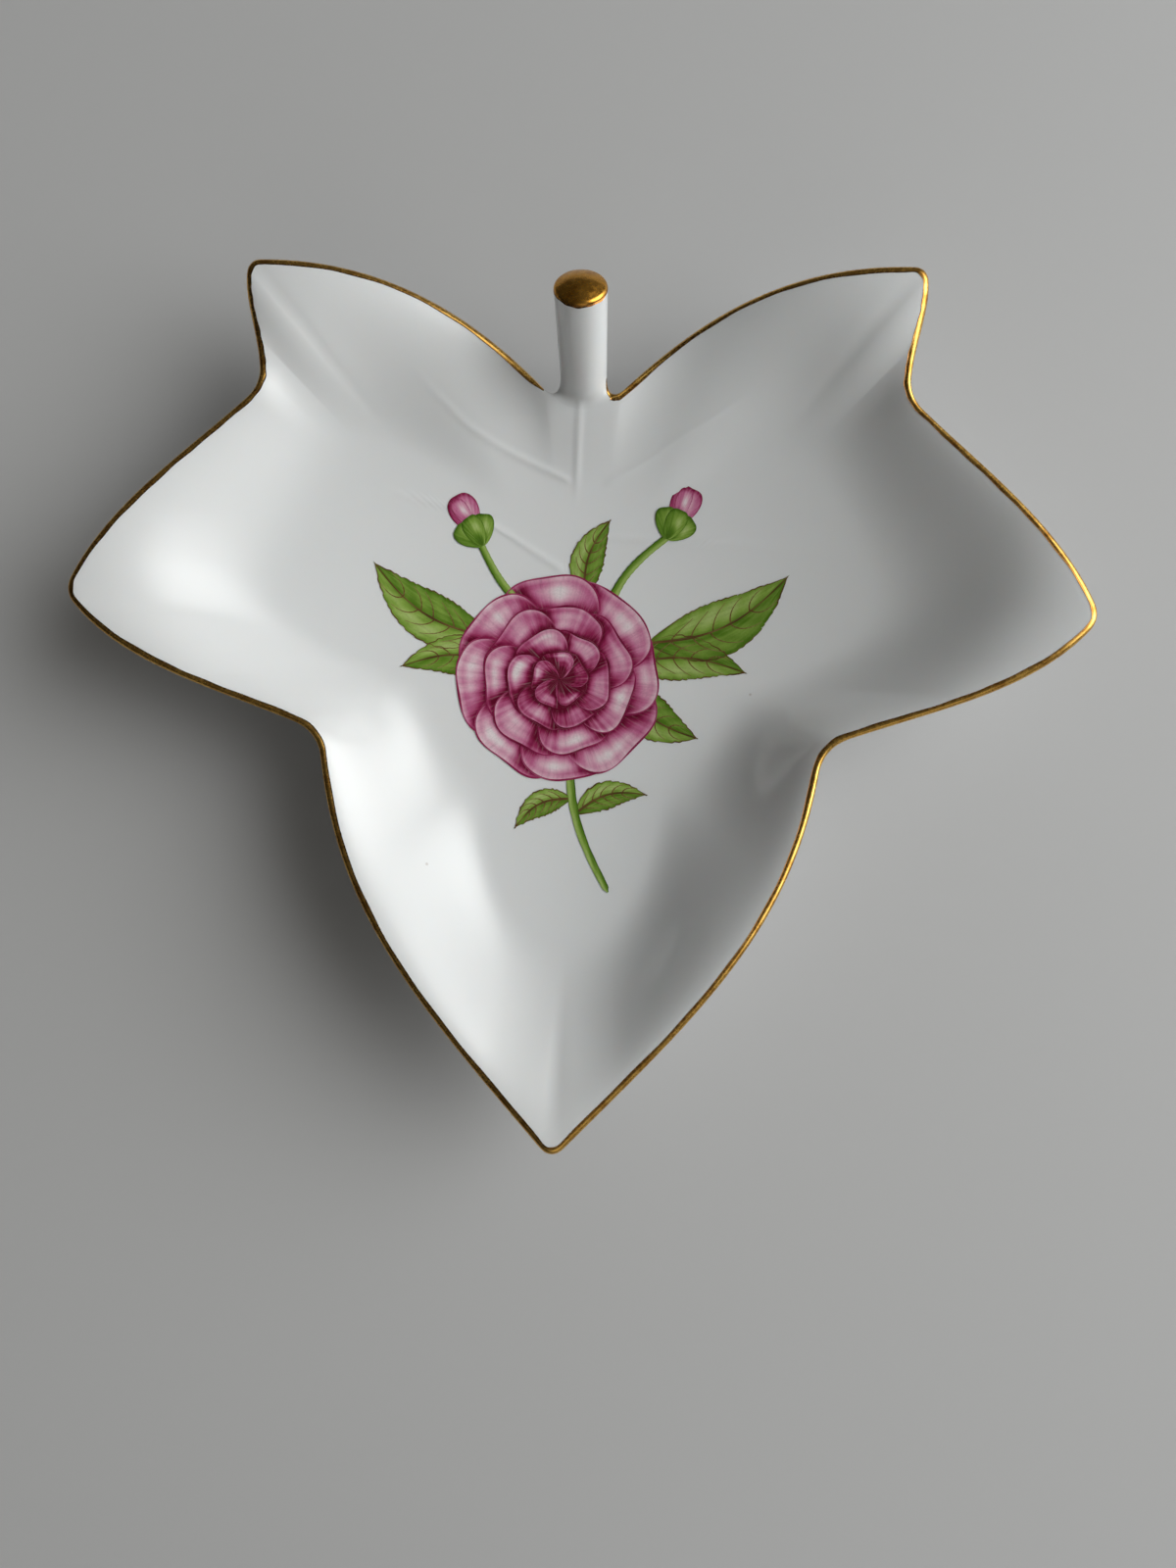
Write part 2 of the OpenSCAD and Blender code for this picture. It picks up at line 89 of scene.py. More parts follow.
def addMesh(name, points, faces, material, tones=None, uvs=None, normals=None, node=None):
    mesh = bpy.data.meshes.new(name)
    mesh.from_pydata((np.asarray(points) * mm).tolist(), [], [list(f) for f in faces])
    mesh.materials.append(material)
    mesh.update()
    mesh.shade_smooth()
    if tones is not None:
        layer = mesh.color_attributes.new("tone", "FLOAT_COLOR", "POINT")
        layer.data.foreach_set("color", np.asarray(tones, np.float32).ravel())
    if uvs is not None:
        layer = mesh.uv_layers.new(name="brush")
        corners = np.zeros(len(mesh.loops), np.int32)
        mesh.loops.foreach_get("vertex_index", corners)
        layer.data.foreach_set("uv", np.asarray(uvs, np.float32)[corners].ravel())
    if normals is not None:
        mesh.normals_split_custom_set_from_vertices(np.asarray(normals).tolist())
    piece = bpy.data.objects.new(name, mesh)
    scene.collection.objects.link(piece)
    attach(piece, "root")
    if node:
        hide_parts(node)


def gridFaces(rows, cols, start=0, closeRows=False, closeCols=False, flip=False):
    faces = []
    for i in range(rows if closeRows else rows - 1):
        for k in range(cols if closeCols else cols - 1):
            a = start + i * cols + k
            b = start + i * cols + (k + 1) % cols
            c = start + ((i + 1) % rows) * cols + (k + 1) % cols
            d = start + ((i + 1) % rows) * cols + k
            faces.append((a, d, c, b) if flip else (a, b, c, d))
    return faces


def gridNormals(grid, closeRows=False):
    along = np.roll(grid, -1, 0) - np.roll(grid, 1, 0) if closeRows else np.gradient(grid, axis=0)
    return unit(np.cross(along, np.gradient(grid, axis=1)))


# Small helpers for materials

def newMaterial(name):
    material = bpy.data.materials.new(name)
    material.use_nodes = True
    tree = material.node_tree
    return material, tree, tree.nodes["Principled BSDF"]


def addNode(tree, kind, values=(), **settings):
    made = tree.nodes.new(kind)
    for key, value in settings.items():
        setattr(made, key, value)
    for key, value in dict(values).items():
        made.inputs[key].default_value = value
    return made


def link(tree, source, socket, target, into):
    tree.links.new(source.outputs[socket], target.inputs[into])


def addNoise(tree, scale, detail=3.0, roughness=0.5, stretch=(1.0, 1.0, 1.0)):
    place = addNode(tree, "ShaderNodeTexCoord")
    turn = addNode(tree, "ShaderNodeMapping", {"Scale": stretch})
    noise = addNode(tree, "ShaderNodeTexNoise", {"Scale": scale, "Detail": detail, "Roughness": roughness})
    link(tree, place, "Object", turn, "Vector")
    link(tree, turn, "Vector", noise, "Vector")
    return noise


def addRange(tree, source, socket, before, after, ease="LINEAR"):
    # the source's value, carried from one pair of limits to another
    limits = dict(zip(("From Min", "From Max", "To Min", "To Max"), (*before, *after)))
    made = addNode(tree, "ShaderNodeMapRange", limits, interpolation_type=ease)
    link(tree, source, socket, made, "Value")
    return made


def addBump(tree, source, strength, distance, body):
    bump = addNode(tree, "ShaderNodeBump", {"Strength": strength, "Distance": distance})
    link(tree, source, "Fac", bump, "Height")
    link(tree, bump, "Normal", body, "Normal")


def addRamp(tree, source, socket, stops):
    ramp = addNode(tree, "ShaderNodeValToRGB")
    marks = ramp.color_ramp.elements
    while len(marks) < len(stops):
        marks.new(0.5)
    for mark, (at, colour) in zip(marks, stops):
        mark.position = at
        mark.color = (*colour, 1.0)
    link(tree, source, socket, ramp, "Fac")
    return ramp


def addMix(tree, a, b, factor=0.5, blend="MIX"):
    # a, b and factor are each a plain value or a pair of node and socket name
    mix = addNode(tree, "ShaderNodeMix", data_type="RGBA", blend_type=blend)
    for value, into in ((factor, 0), (a, 6), (b, 7)):
        if isinstance(value, tuple) and isinstance(value[0], bpy.types.Node):
            link(tree, *value, mix, into)
        elif into:
            mix.inputs[into].default_value = (*value, 1.0)
        else:
            mix.inputs[into].default_value = value
    return mix


# The leaf's shape: lip outline, well and wall

leaf = {
    "halfWidth": 83.25, "halfLength": 72.0,
    "corners": [(0.0726, 0.7636), (0.655, 1.0), (0.645, 0.732), (1.0, 0.235), (0.497, -0.064), (0.0, -1.0)],
    "leaving": [(0.155, 0.177), (0.025, -0.075), (0.112, -0.13), (-0.11, -0.17), (-0.035, -0.405)],
    "reaching": [(-0.2675, 0.0133), (-0.01, 0.1), (-0.063, 0.196), (0.207, 0.096), (0.278, 0.347)],
    "heights": [13.5, 25.5, 21.0, 25.5, 21.0, 25.5],
    "rounding": [1.3, 1.8, 2.6, 2.4, 4.6, 3.0],
    "centre": (0.0, 10.08), "floorTop": 6.0, "floorThickness": 3.0, "lipThickness": 2.1,
    "hollowRadius": 215.0, "wellRadius": 26.5, "sidePocket": 24.0, "bottomPocket": 22.0,
    "sideCore": 14.0, "sideEdge": 40.0, "bottomEdge": 40.0,
    "softAngle": 22.0, "tipPower": 8.0, "notchPower": 2.4, "footPower": 2.5, "lipEase": 0.4,
    "leastSquareness": 0.5, "lipBlend": 1.2,
    "edgeSteps": 44, "cornerSteps": 12, "seatSteps": 10, "noseSteps": 14,
    "wallSteps": 60, "floorSteps": 50, "outerWallSteps": 24, "outerFloorSteps": 16,
}
centre = np.array(leaf["centre"])


def cubicAt(p, t):
    t = np.asarray(t)[:, None]
    return (1 - t) ** 3 * p[0] + 3 * (1 - t) ** 2 * t * p[1] + 3 * (1 - t) * t * t * p[2] + t ** 3 * p[3]


def lipOutline():
    # half the outline and its mirror image: curves between the corners, which are rounded, and the seat
    # across the stem notch
    scale = np.array([leaf["halfWidth"], leaf["halfLength"], 1.0])
    corners = [np.array([x, y, z]) * scale for (x, y), z in zip(leaf["corners"], leaf["heights"])]
    right = []
    for i in range(5):
        leaving = np.array([*leaf["leaving"][i], 0.0]) * scale
        reaching = np.array([*leaf["reaching"][i], 0.0]) * scale
        right.append([corners[i], corners[i] + leaving, corners[i + 1] + reaching, corners[i + 1]])
    flip = np.array([-1.0, 1.0, 1.0])
    edges = right + [[p * flip for p in reversed(e)] for e in reversed(right)]
    rounding = leaf["rounding"] + leaf["rounding"][-2::-1]
    first = corners[0] - np.array([leaf["rounding"][0], 0.0, 0.0])
    last = first * flip
    shares = []
    for i, e in enumerate(edges):
        start = rounding[i] / (3 * np.linalg.norm(e[1] - e[0]))
        end = 1 - rounding[i + 1] / (3 * np.linalg.norm(e[3] - e[2]))
        shares.append((start, end))
    across = np.linspace(0.0, 1.0, leaf["seatSteps"], endpoint=False)[:, None]
    t = np.linspace(0.0, 1.0, leaf["cornerSteps"], endpoint=False)[:, None]
    pieces = [mixed(np.array([0.0, first[1], first[2]]), first, across)]
    final = len(edges)
    for j in range(final + 1):
        a = first if j == 0 else cubicAt(edges[j - 1], [shares[j - 1][1]])[0]
        c = last if j == final else cubicAt(edges[j], [shares[j][0]])[0]
        b = corners[0] * flip if j == final else edges[j][0]
        pieces.append((1 - t) ** 2 * a + 2 * (1 - t) * t * b + t * t * c)
        if j < final:
            along = np.linspace(*shares[j], leaf["edgeSteps"], endpoint=False)
            pieces.append(cubicAt(edges[j], along))
    pieces.append(mixed(last, np.array([0.0, last[1], last[2]]), across))
    return np.concatenate(pieces)


def gapAngle(a, b):
    return np.abs((a - b + 540.0) % 360.0 - 180.0)


def swell(a, middle, core, edge):
    g = np.clip((gapAngle(a, middle) - core) / (edge - core), 0.0, 1.0)
    return (1 + np.cos(np.pi * g)) / 2


lip = lipOutline()
rays = lip[:, :2] - centre
reaches = np.linalg.norm(rays, axis=1)
outward = rays / reaches[:, None]
bearings = np.degrees(np.arctan2(outward[:, 1], outward[:, 0]))


def cornerBearing(i):
    x, y = leaf["corners"][i]
    return math.degrees(math.atan2(y * leaf["halfLength"] - centre[1], x * leaf["halfWidth"]))


sideBearing = (cornerBearing(1) + cornerBearing(3)) / 2


def wellReach(a):  # the well is round and runs out into three pockets
    reach = leaf["wellRadius"] + leaf["bottomPocket"] * swell(a, -90.0, 0.0, leaf["bottomEdge"])
    for middle in (sideBearing, 180.0 - sideBearing):
        reach = reach + leaf["sidePocket"] * swell(a, middle, leaf["sideCore"], leaf["sideEdge"])
    return reach


wells = wellReach(bearings)
spans = gapAngle(np.roll(bearings, -1), np.roll(bearings, 1))
weights = spans[None, :] * swell(bearings[:, None], bearings[None, :], 0.0, leaf["softAngle"])
softReaches = (weights @ reaches) / weights.sum(1)
chords = unit((np.roll(lip, -2, 0) - np.roll(lip, 2, 0))[:, :2])
steps = np.linalg.norm(np.roll(lip, -1, 0) - lip, axis=1)
lipRun = np.concatenate([[0.0], np.cumsum(steps)[:-1]])  # length along the lip
lipLength = steps.sum()
squareOn = np.abs(chords[:, 0] * outward[:, 1] - chords[:, 1] * outward[:, 0])
squareOn = np.clip(squareOn, leaf["leastSquareness"], 1.0)
apart = np.abs(lipRun[:, None] - lipRun[None, :])
apart = np.minimum(apart, lipLength - apart)
blur = bell(apart, 0.0, leaf["lipBlend"]) * ((steps + np.roll(steps, 1)) / 2)[None, :]
squareOn = (blur @ squareOn) / blur.sum(1)  # the lip's thickness changes gently
nose = leaf["lipThickness"] / 2 / squareOn
softRun = softReaches - nose - wells
sharpRun = reaches - nose - wells - softRun
footPower = leaf["footPower"]
early, late = footPower + 1 - leaf["lipEase"], leaf["lipEase"] - footPower


def hollow(r):  # the floor is part of a ball
    return leaf["hollowRadius"] - np.sqrt(leaf["hollowRadius"] ** 2 - r * r)


def hollowSlope(r):
    return r / np.sqrt(leaf["hollowRadius"] ** 2 - r * r)


bottomSwell = swell(bearings, -90.0, 0.0, leaf["bottomEdge"])


def lead(t):  # the wall leaves the ball along its tangent, which eases off up the bottom lobe
    return t - bottomSwell * t ** 3 / 3


ramps = hollowSlope(wells) * softRun
rises = lip[:, 2] - leaf["floorTop"] - hollow(wells) - ramps * lead(1.0)


def climb(t):  # the rest of the wall's height, which sets off level with the floor
    return early * t ** footPower + late * t ** (footPower + 1)


def climbRate(t):
    return early * footPower * t ** (footPower - 1) + late * (footPower + 1) * t ** footPower


sharpPower = np.where(sharpRun > 0, leaf["tipPower"], leaf["notchPower"])


def runAt(t):  # the lip's corners die out down the wall, the tips faster than the notches
    return wells + softRun * t + sharpRun * t ** sharpPower


def slopeAt(t):
    rate = softRun + sharpRun * sharpPower * t ** (sharpPower - 1)
    return (ramps * (1 - bottomSwell * t * t) + rises * climbRate(t)) / rate


def wallThickness(t):
    steep = slopeAt(t) / (1 + (squareOn - 1) * t * t)
    flat = leaf["floorThickness"] + (leaf["lipThickness"] - leaf["floorThickness"]) * t
    return flat * np.sqrt(1 + steep * steep)


def onRays(r, z):
    return np.stack([centre[0] + outward[:, 0] * r, centre[1] + outward[:, 1] * r, z + 0 * r], 1)


def insidePoint(t):
    return onRays(runAt(t), leaf["floorTop"] + hollow(wells) + ramps * lead(t) + rises * climb(t))


def floorPoint(share):
    return onRays(wells * share, leaf["floorTop"] + hollow(wells * share))


def underPoint(share):
    upright = leaf["floorThickness"] * np.sqrt(1 + hollowSlope(wells * share) ** 2)
    return floorPoint(share) - np.stack([0 * upright, 0 * upright, upright], 1)


def outsidePoint(t):
    return insidePoint(t) - np.stack([0 * nose, 0 * nose, wallThickness(t)], 1)


def nosePoint(angle):
    a = np.radians(angle)
    half = wallThickness(1.0) / 2
    out = nose * np.sin(a)
    z = lip[:, 2] - half + half * np.cos(a) + slopeAt(1.0) * out
    return onRays(runAt(1.0) + out, z)


# Faint veins moulded in the inner skin: plan points from the stem outwards, height and half width

veins = {
    "height": 0.16, "halfWidth": 0.55, "samples": 60, "smoothings": 30,
    "lines": [
        [(-0.4, 55.5), (-0.7, 49.0), (-0.9, 42.5), (-1.0, 36.0)],
        [(-1.5, 41.0), (-4.2, 42.1), (-12.8, 45.6), (-19.6, 49.1), (-26.4, 55.1), (-31.0, 60.8)],
        [(3.0, 40.5), (9.5, 43.6), (17.8, 49.0), (25.1, 52.9), (33.0, 58.0)],
        [(-2.0, 25.5), (-6.2, 27.9), (-16.2, 34.0), (-30.0, 38.0), (-46.0, 38.0)],
        [(-2.0, 31.5), (4.7, 31.9), (18.0, 31.3), (30.2, 30.7), (46.0, 28.0)],
    ],
}


def veinHeight(x, y):
    total = np.zeros(np.shape(x))
    for line in veins["lines"]:
        # a smooth course through the points, fading out at both ends
        knots = np.array(line)
        t = np.linspace(0, len(knots) - 1, veins["samples"])
        course = np.stack([np.interp(t, np.arange(len(knots)), knots[:, k]) for k in (0, 1)], 1)
        for _ in range(veins["smoothings"]):
            course[1:-1] = (course[:-2] + 2 * course[1:-1] + course[2:]) / 4
        fade = smoothStep(0.0, 0.12, t / t[-1]) * (1 - smoothStep(0.55, 1.0, t / t[-1]))
        gap = np.hypot(np.asarray(x)[..., None] - course[:, 0], np.asarray(y)[..., None] - course[:, 1])
        near = gap.argmin(-1)
        distance = np.take_along_axis(gap, near[..., None], -1)[..., 0]
        raised = veins["height"] * fade[near] * bell(distance, 0.0, veins["halfWidth"])
        total = np.maximum(total, raised)
    return total


# Materials shared by the porcelain

glaze = {
    "white": (0.80, 0.81, 0.815), "cooler": (0.775, 0.79, 0.80), "speck": (0.30, 0.22, 0.17),
    "gloss": (0.06, 0.11), "depth": 0.12, "scatter": (1.0, 0.75, 0.6), "scatterLength": 0.0018,
}


def porcelain(name):
    material, tree, body = newMaterial(name)
    body.inputs["IOR"].default_value = 1.5
    body.inputs["Subsurface Weight"].default_value = glaze["depth"]
    body.inputs["Subsurface Radius"].default_value = glaze["scatter"]
    body.inputs["Subsurface Scale"].default_value = glaze["scatterLength"]
    cloud = addNoise(tree, 16.0, 2.0)
    tint = addRamp(tree, cloud, "Fac", [(0.35, glaze["white"]), (0.7, glaze["cooler"])])
    # a few fired-in specks: dots in small cells, of which each cell's own random colour lets few through
    cells = addNode(tree, "ShaderNodeTexVoronoi", {"Scale": 130.0, "Randomness": 1.0})
    place = addNode(tree, "ShaderNodeTexCoord")
    link(tree, place, "Object", cells, "Vector")
    dot = addRamp(tree, cells, "Distance", [(0.0, (1, 1, 1)), (0.028, (1, 1, 1)), (0.04, (0, 0, 0))])
    few = addNode(tree, "ShaderNodeSeparateColor")
    link(tree, cells, "Color", few, "Color")
    some = addRamp(tree, few, "Red", [(0.0, (0, 0, 0)), (0.90, (0, 0, 0)), (0.97, (0.55, 0.55, 0.55))])
    both = addMix(tree, (dot, "Color"), (some, "Color"), 1.0, "MULTIPLY")
    colour = addMix(tree, (tint, "Color"), glaze["speck"], (both, "Result"))
    link(tree, colour, "Result", body, "Base Color")
    # fine wiping marks in the gloss and the slow ripple of the glaze
    marks = addNoise(tree, 320.0, 4.0, 0.6, stretch=(1.0, 0.16, 1.0))
    gloss = addRange(tree, marks, "Fac", (0.45, 0.75), glaze["gloss"])
    link(tree, gloss, "Result", body, "Roughness")
    addBump(tree, addNoise(tree, 95.0, 1.0), 0.35, 0.00006, body)
    return material


leafGlaze = porcelain("leafGlaze")
stemGlaze = porcelain("stemGlaze")


# Leaf body: floor, walls and rounded lip as one closed skin

def leafGrid():
    shares = np.arange(1, leaf["floorSteps"] + 1) / (leaf["floorSteps"] + 1)
    outerShares = np.arange(1, leaf["outerFloorSteps"] + 1) / (leaf["outerFloorSteps"] + 1)
    ts = np.linspace(0.0, 1.0, leaf["wallSteps"] + 1)
    outerTs = np.linspace(0.0, 1.0, leaf["outerWallSteps"] + 1)
    angles = np.linspace(0.0, 180.0, leaf["noseSteps"] + 2)[1:-1]
    columns = [floorPoint(s) for s in shares]
    columns += [insidePoint(t) for t in ts]
    columns += [nosePoint(a) for a in angles]
    columns += [outsidePoint(t) for t in outerTs[::-1]]
    columns += [underPoint(s) for s in outerShares[::-1]]
    return np.stack(columns, 1)


skin = leafGrid()
innerColumns = leaf["floorSteps"] + leaf["wallSteps"]
skin[:, :innerColumns, 2] += veinHeight(skin[:, :innerColumns, 0], skin[:, :innerColumns, 1])
rowCount, columnCount = skin.shape[:2]
skinNormals = gridNormals(skin, closeRows=True)
if skinNormals[0, leaf["floorSteps"] // 2, 2] < 0:
    skinNormals = -skinNormals
noseColumn = leaf["floorSteps"] + leaf["wallSteps"] + 1 + leaf["noseSteps"] / 2 - 0.5  # the nose's middle
faces = gridFaces(rowCount, columnCount, closeRows=True)
top, bottom = rowCount * columnCount, rowCount * columnCount + 1
middles = [[*centre, leaf["floorTop"]], [*centre, leaf["floorTop"] - leaf["floorThickness"]]]
points = np.concatenate([skin.reshape(-1, 3), middles])
for i in range(rowCount):
    after = (i + 1) % rowCount
    faces.append((i * columnCount, after * columnCount, top))
    faces.append((after * columnCount + columnCount - 1, i * columnCount + columnCount - 1, bottom))
addMesh("leafBody", points, faces, leafGlaze, node="leaf_body")
print("leaf body:", len(points), "points")


# Foot ring: turned ring with a fillet against the floor and a bare ground face

foot = {
    "outer": 23.5, "width": 4.0, "faceWidth": 2.0, "height": 3.0, "edgeRound": 0.45, "edgeOut": 0.35,
    "fillet": 1.1, "filletDrop": 0.9, "proud": 0.02, "filletSteps": 8, "edgeSteps": 6, "sides": 160,
    "bare": (0.74, 0.71, 0.66), "rubbed": (0.60, 0.56, 0.50), "gloss": (0.08, 0.75),
    "bareFrom": 0.25, "bareTo": 0.5, "bareWander": 0.06,
}


def footMaterial():
    material, tree, body = newMaterial("footFaces")
    body.inputs["IOR"].default_value = 1.5
    grain = addNoise(tree, 900.0, 5.0, 0.65)
    bare = addRamp(tree, grain, "Fac", [(0.38, foot["rubbed"]), (0.6, foot["bare"])])
    tone = addNode(tree, "ShaderNodeVertexColor", layer_name="tone")
    colour = addMix(tree, glaze["white"], (bare, "Color"), (tone, "Color"))
    link(tree, colour, "Result", body, "Base Color")
    dull = addRange(tree, tone, "Color", (0.0, 1.0), foot["gloss"])
    link(tree, dull, "Result", body, "Roughness")
    addBump(tree, grain, 0.5, 0.00004, body)
    return material


def footProfile():
    # the inner side down and the outer side up: fillet under the floor, tapered side, rounded edge
    outer, width = foot["outer"], foot["width"]
    inner = outer - width
    taper = (width - foot["faceWidth"]) / 2
    lean = math.atan2(taper, foot["height"])
    r, f = foot["edgeRound"], foot["fillet"]
    profile = []
    for side, x0, x1 in ((-1, inner, inner + taper), (1, outer, outer - taper)):
        line = []
        h = foot["height"] + float(hollow(x0))
        for a in np.linspace(0.0, math.pi / 2 - lean, foot["filletSteps"]):
            x = x0 + side * f * (1 - math.sin(a))
            under = foot["height"] + float(hollow(x)) + foot["proud"]
            line.append((x, under - f * (1 - math.cos(a)) * foot["filletDrop"]))
        start, end = np.array(line[-1]), np.array([x1 + side * (taper / h) * r, r])
        for a in np.linspace(0.0, 1.0, foot["edgeSteps"])[1:]:
            line.append(tuple(mixed(start, end, a)))
        for a in np.linspace(0.0, math.pi / 2, foot["edgeSteps"])[1:]:
            line.append((x1 + side * r * (foot["edgeOut"] - 1 + math.cos(a)), r - r * math.sin(a)))
        profile.append(line)
    return profile[0] + profile[1][::-1]


profile = np.array(footProfile())
turns = np.linspace(0.0, 2 * math.pi, foot["sides"], endpoint=False)
ring = np.stack([
    np.outer(np.cos(turns), profile[:, 0]), np.outer(np.sin(turns), profile[:, 0]) + centre[1],
    np.outer(np.ones(foot["sides"]), profile[:, 1])], 2)
wander = foot["bareWander"] * np.repeat(wobble(4, foot["sides"], (3, 5, 9, 14)), len(profile))
bareness = 1 - smoothStep(foot["bareFrom"], foot["bareTo"], ring[:, :, 2].ravel() + wander)
tones = np.stack([bareness] * 3 + [np.ones_like(bareness)], 1)
footFaces = gridFaces(foot["sides"], len(profile), closeRows=True, closeCols=True)
addMesh("footRing", ring.reshape(-1, 3), footFaces, footMaterial(), tones=tones, node="foot_ring")
print("foot ring done")


# Stem handle: a petiole that flows out of the lip in the notch

stem = {
    "rise": 60.0, "rootRadius": 3.9, "endRadius": 4.3, "length": 20.0, "proud": 0.8,
    "sideReach": 1.75, "insideReach": 3.4, "outsideReach": 7.5, "leadShare": 0.85, "sink": 0.03,
    "filletHeight": 2.6, "sideRise": 1.2, "outsideDrop": 0.6, "filletPull": 0.45,
    "edgeRound": 0.8, "edgeTurn": 0.8, "domeHeight": 1.15, "domeShare": 0.85,
    "sides": 96, "filletSteps": 18, "shaftSteps": 22, "edgeSteps": 8, "domeSteps": 9, "nearRows": 60,
}
rise = math.radians(stem["rise"])
stemAxis = np.array([0.0, math.cos(rise), math.sin(rise)])
stemAcross = np.array([0.0, -math.sin(rise), math.cos(rise)])
lipInside = nosePoint(0.0)[0]
stemAt = lipInside - stemAcross * (stem["rootRadius"] - stem["proud"])

# the leaf's skin near the notch, by distance along the lip and around its section
nearRows = np.arange(-stem["nearRows"], stem["nearRows"] + 1)
nearSkin = skin[nearRows]
nearNormals = skinNormals[nearRows]
nearX = nearSkin[:, int(noseColumn), 0]


def onSkin(x, w):
    # x across the notch, w from the nose's middle: positive down the inside, negative down the outside
    row = np.interp(x, nearX, np.arange(len(nearX)))
    i = int(min(row, len(nearX) - 2))
    f = row - i
    line = nearSkin[i] * (1 - f) + nearSkin[i + 1] * f
    lineNormals = nearNormals[i] * (1 - f) + nearNormals[i + 1] * f
    run = np.concatenate([[0.0], np.cumsum(np.linalg.norm(np.diff(line, axis=0), axis=1))])
    middle = np.interp(noseColumn, np.arange(len(run)), run)
    at = middle - w
    point = np.array([np.interp(at, run, line[:, k]) for k in range(3)])
    normal = np.array([np.interp(at, run, lineNormals[:, k]) for k in range(3)])
    return point, unit(normal)


def shaftRadius(s):
    return stem["rootRadius"] + (stem["endRadius"] - stem["rootRadius"]) * s / stem["length"]


def stemRings():
    # a line for each side: a fillet out of the skin, the shaft, the rounded edge and the domed end
    rings, ringNormals = [], []
    top, edge = stem["length"], stem["edgeRound"]
    edgeTurn = math.pi / 2 * stem["edgeTurn"]
    rimRadius = shaftRadius(top) - edge * (1 - math.cos(edgeTurn))
    rimHeight = top - edge * (1 - math.sin(edgeTurn))
    dome = stem["domeHeight"] * stem["domeShare"]
    for a in np.linspace(0.0, 2 * math.pi, stem["sides"], endpoint=False):
        c, s = math.cos(a), math.sin(a)
        reach = stem["insideReach"] if s > 0 else stem["outsideReach"]
        x, w = (stem["rootRadius"] + stem["sideReach"]) * c, reach * s
        start, startNormal = onSkin(x, w)
        inward, _ = onSkin(x * stem["leadShare"], w * stem["leadShare"])
        leave = unit(inward - start)
        radial = np.array([1.0, 0.0, 0.0]) * c + stemAcross * s
        height = stem["filletHeight"] + stem["sideRise"] * abs(c) + stem["outsideDrop"] * min(s, 0.0)
        end = stemAt + stemAxis * height + radial * shaftRadius(height)
        pull = np.linalg.norm(end - start) * stem["filletPull"]
        handles = [start, start + leave * pull, end - stemAxis * pull, end]
        fillet = cubicAt(handles, np.linspace(0.0, 1.0, stem["filletSteps"] + 1))
        line = [start - startNormal * stem["sink"]] + list(fillet[1:])
        for h in np.linspace(height, top - edge, stem["shaftSteps"] + 1)[1:]:
            line.append(stemAt + stemAxis * h + radial * shaftRadius(h))
        for b in np.linspace(0.0, edgeTurn, stem["edgeSteps"])[1:]:
            r = shaftRadius(top) - edge * (1 - math.cos(b))
            line.append(stemAt + stemAxis * (top - edge * (1 - math.sin(b))) + radial * r)
        for b in np.linspace(0.0, 1.0, stem["domeSteps"])[1:-1]:
            h = rimHeight + dome * (1 - (1 - b) ** 2)
            line.append(stemAt + stemAxis * h + radial * rimRadius * (1 - b))
        rings.append(line)
        ringNormals.append(startNormal)
    return np.array(rings), np.array(ringNormals), stemAt + stemAxis * (rimHeight + dome)


petiole, rootNormals, stemTip = stemRings()
sides, levels = petiole.shape[:2]
petioleNormals = gridNormals(petiole, closeRows=True)
if petioleNormals[0, levels // 2, 0] < 0:
    petioleNormals = -petioleNormals
petioleNormals[:, 0] = rootNormals
points = np.concatenate([petiole.reshape(-1, 3), [stemTip]])
normals = np.concatenate([petioleNormals.reshape(-1, 3), [stemAxis]])
faces = gridFaces(sides, levels, closeRows=True)
for i in range(sides):
    after = (i + 1) % sides
    faces.append((i * levels + levels - 1, after * levels + levels - 1, sides * levels))
faces.append([i * levels for i in range(sides)])
addMesh("stemHandle", points, faces, stemGlaze, normals=normals, node="stem_handle")
print("stem handle done")


# Gilding: bright gold banded over the lip and brushed over the end of the stem

gilding = {
    "bright": (0.78, 0.46, 0.11), "deep": (0.44, 0.20, 0.035), "thin": (0.24, 0.10, 0.035),
    "amber": (0.74, 0.37, 0.06), "umber": (0.42, 0.17, 0.02),
    "gloss": (0.16, 0.36), "film": 0.035,
    "start": -4.0, "end": 112.0, "startWander": 6.0, "endWander": 11.0,
    "middle": 50.0, "taperRows": 5, "steps": 12,
    "runMiddle": 2.5, "runHalf": 4.5, "runTaper": 0.8, "runSteps": 9, "runLevels": 15,
    "capDrop": 0.25, "capWander": 0.22,
}


def goldMaterial(name, bright, deep):
    material, tree, body = newMaterial(name)
    body.inputs["Metallic"].default_value = 1.0
    brush = addNoise(tree, 420.0, 4.0, 0.6)
    colour = addRamp(tree, brush, "Fac", [(0.3, deep), (0.55, bright)])
    tone = addNode(tree, "ShaderNodeVertexColor", layer_name="tone")
    edge = addMix(tree, gilding["thin"], (colour, "Color"), (tone, "Color"))
    link(tree, edge, "Result", body, "Base Color")
    gloss = addRange(tree, addNoise(tree, 1400.0, 3.0, 0.6), "Fac", (0.3, 0.75), gilding["gloss"])
    link(tree, gloss, "Result", body, "Roughness")
    addBump(tree, brush, 0.4, 0.00003, body)
    return material


lipGold = goldMaterial("lipGold", gilding["bright"], gilding["deep"])
stemGold = goldMaterial("stemGold", gilding["amber"], gilding["umber"])


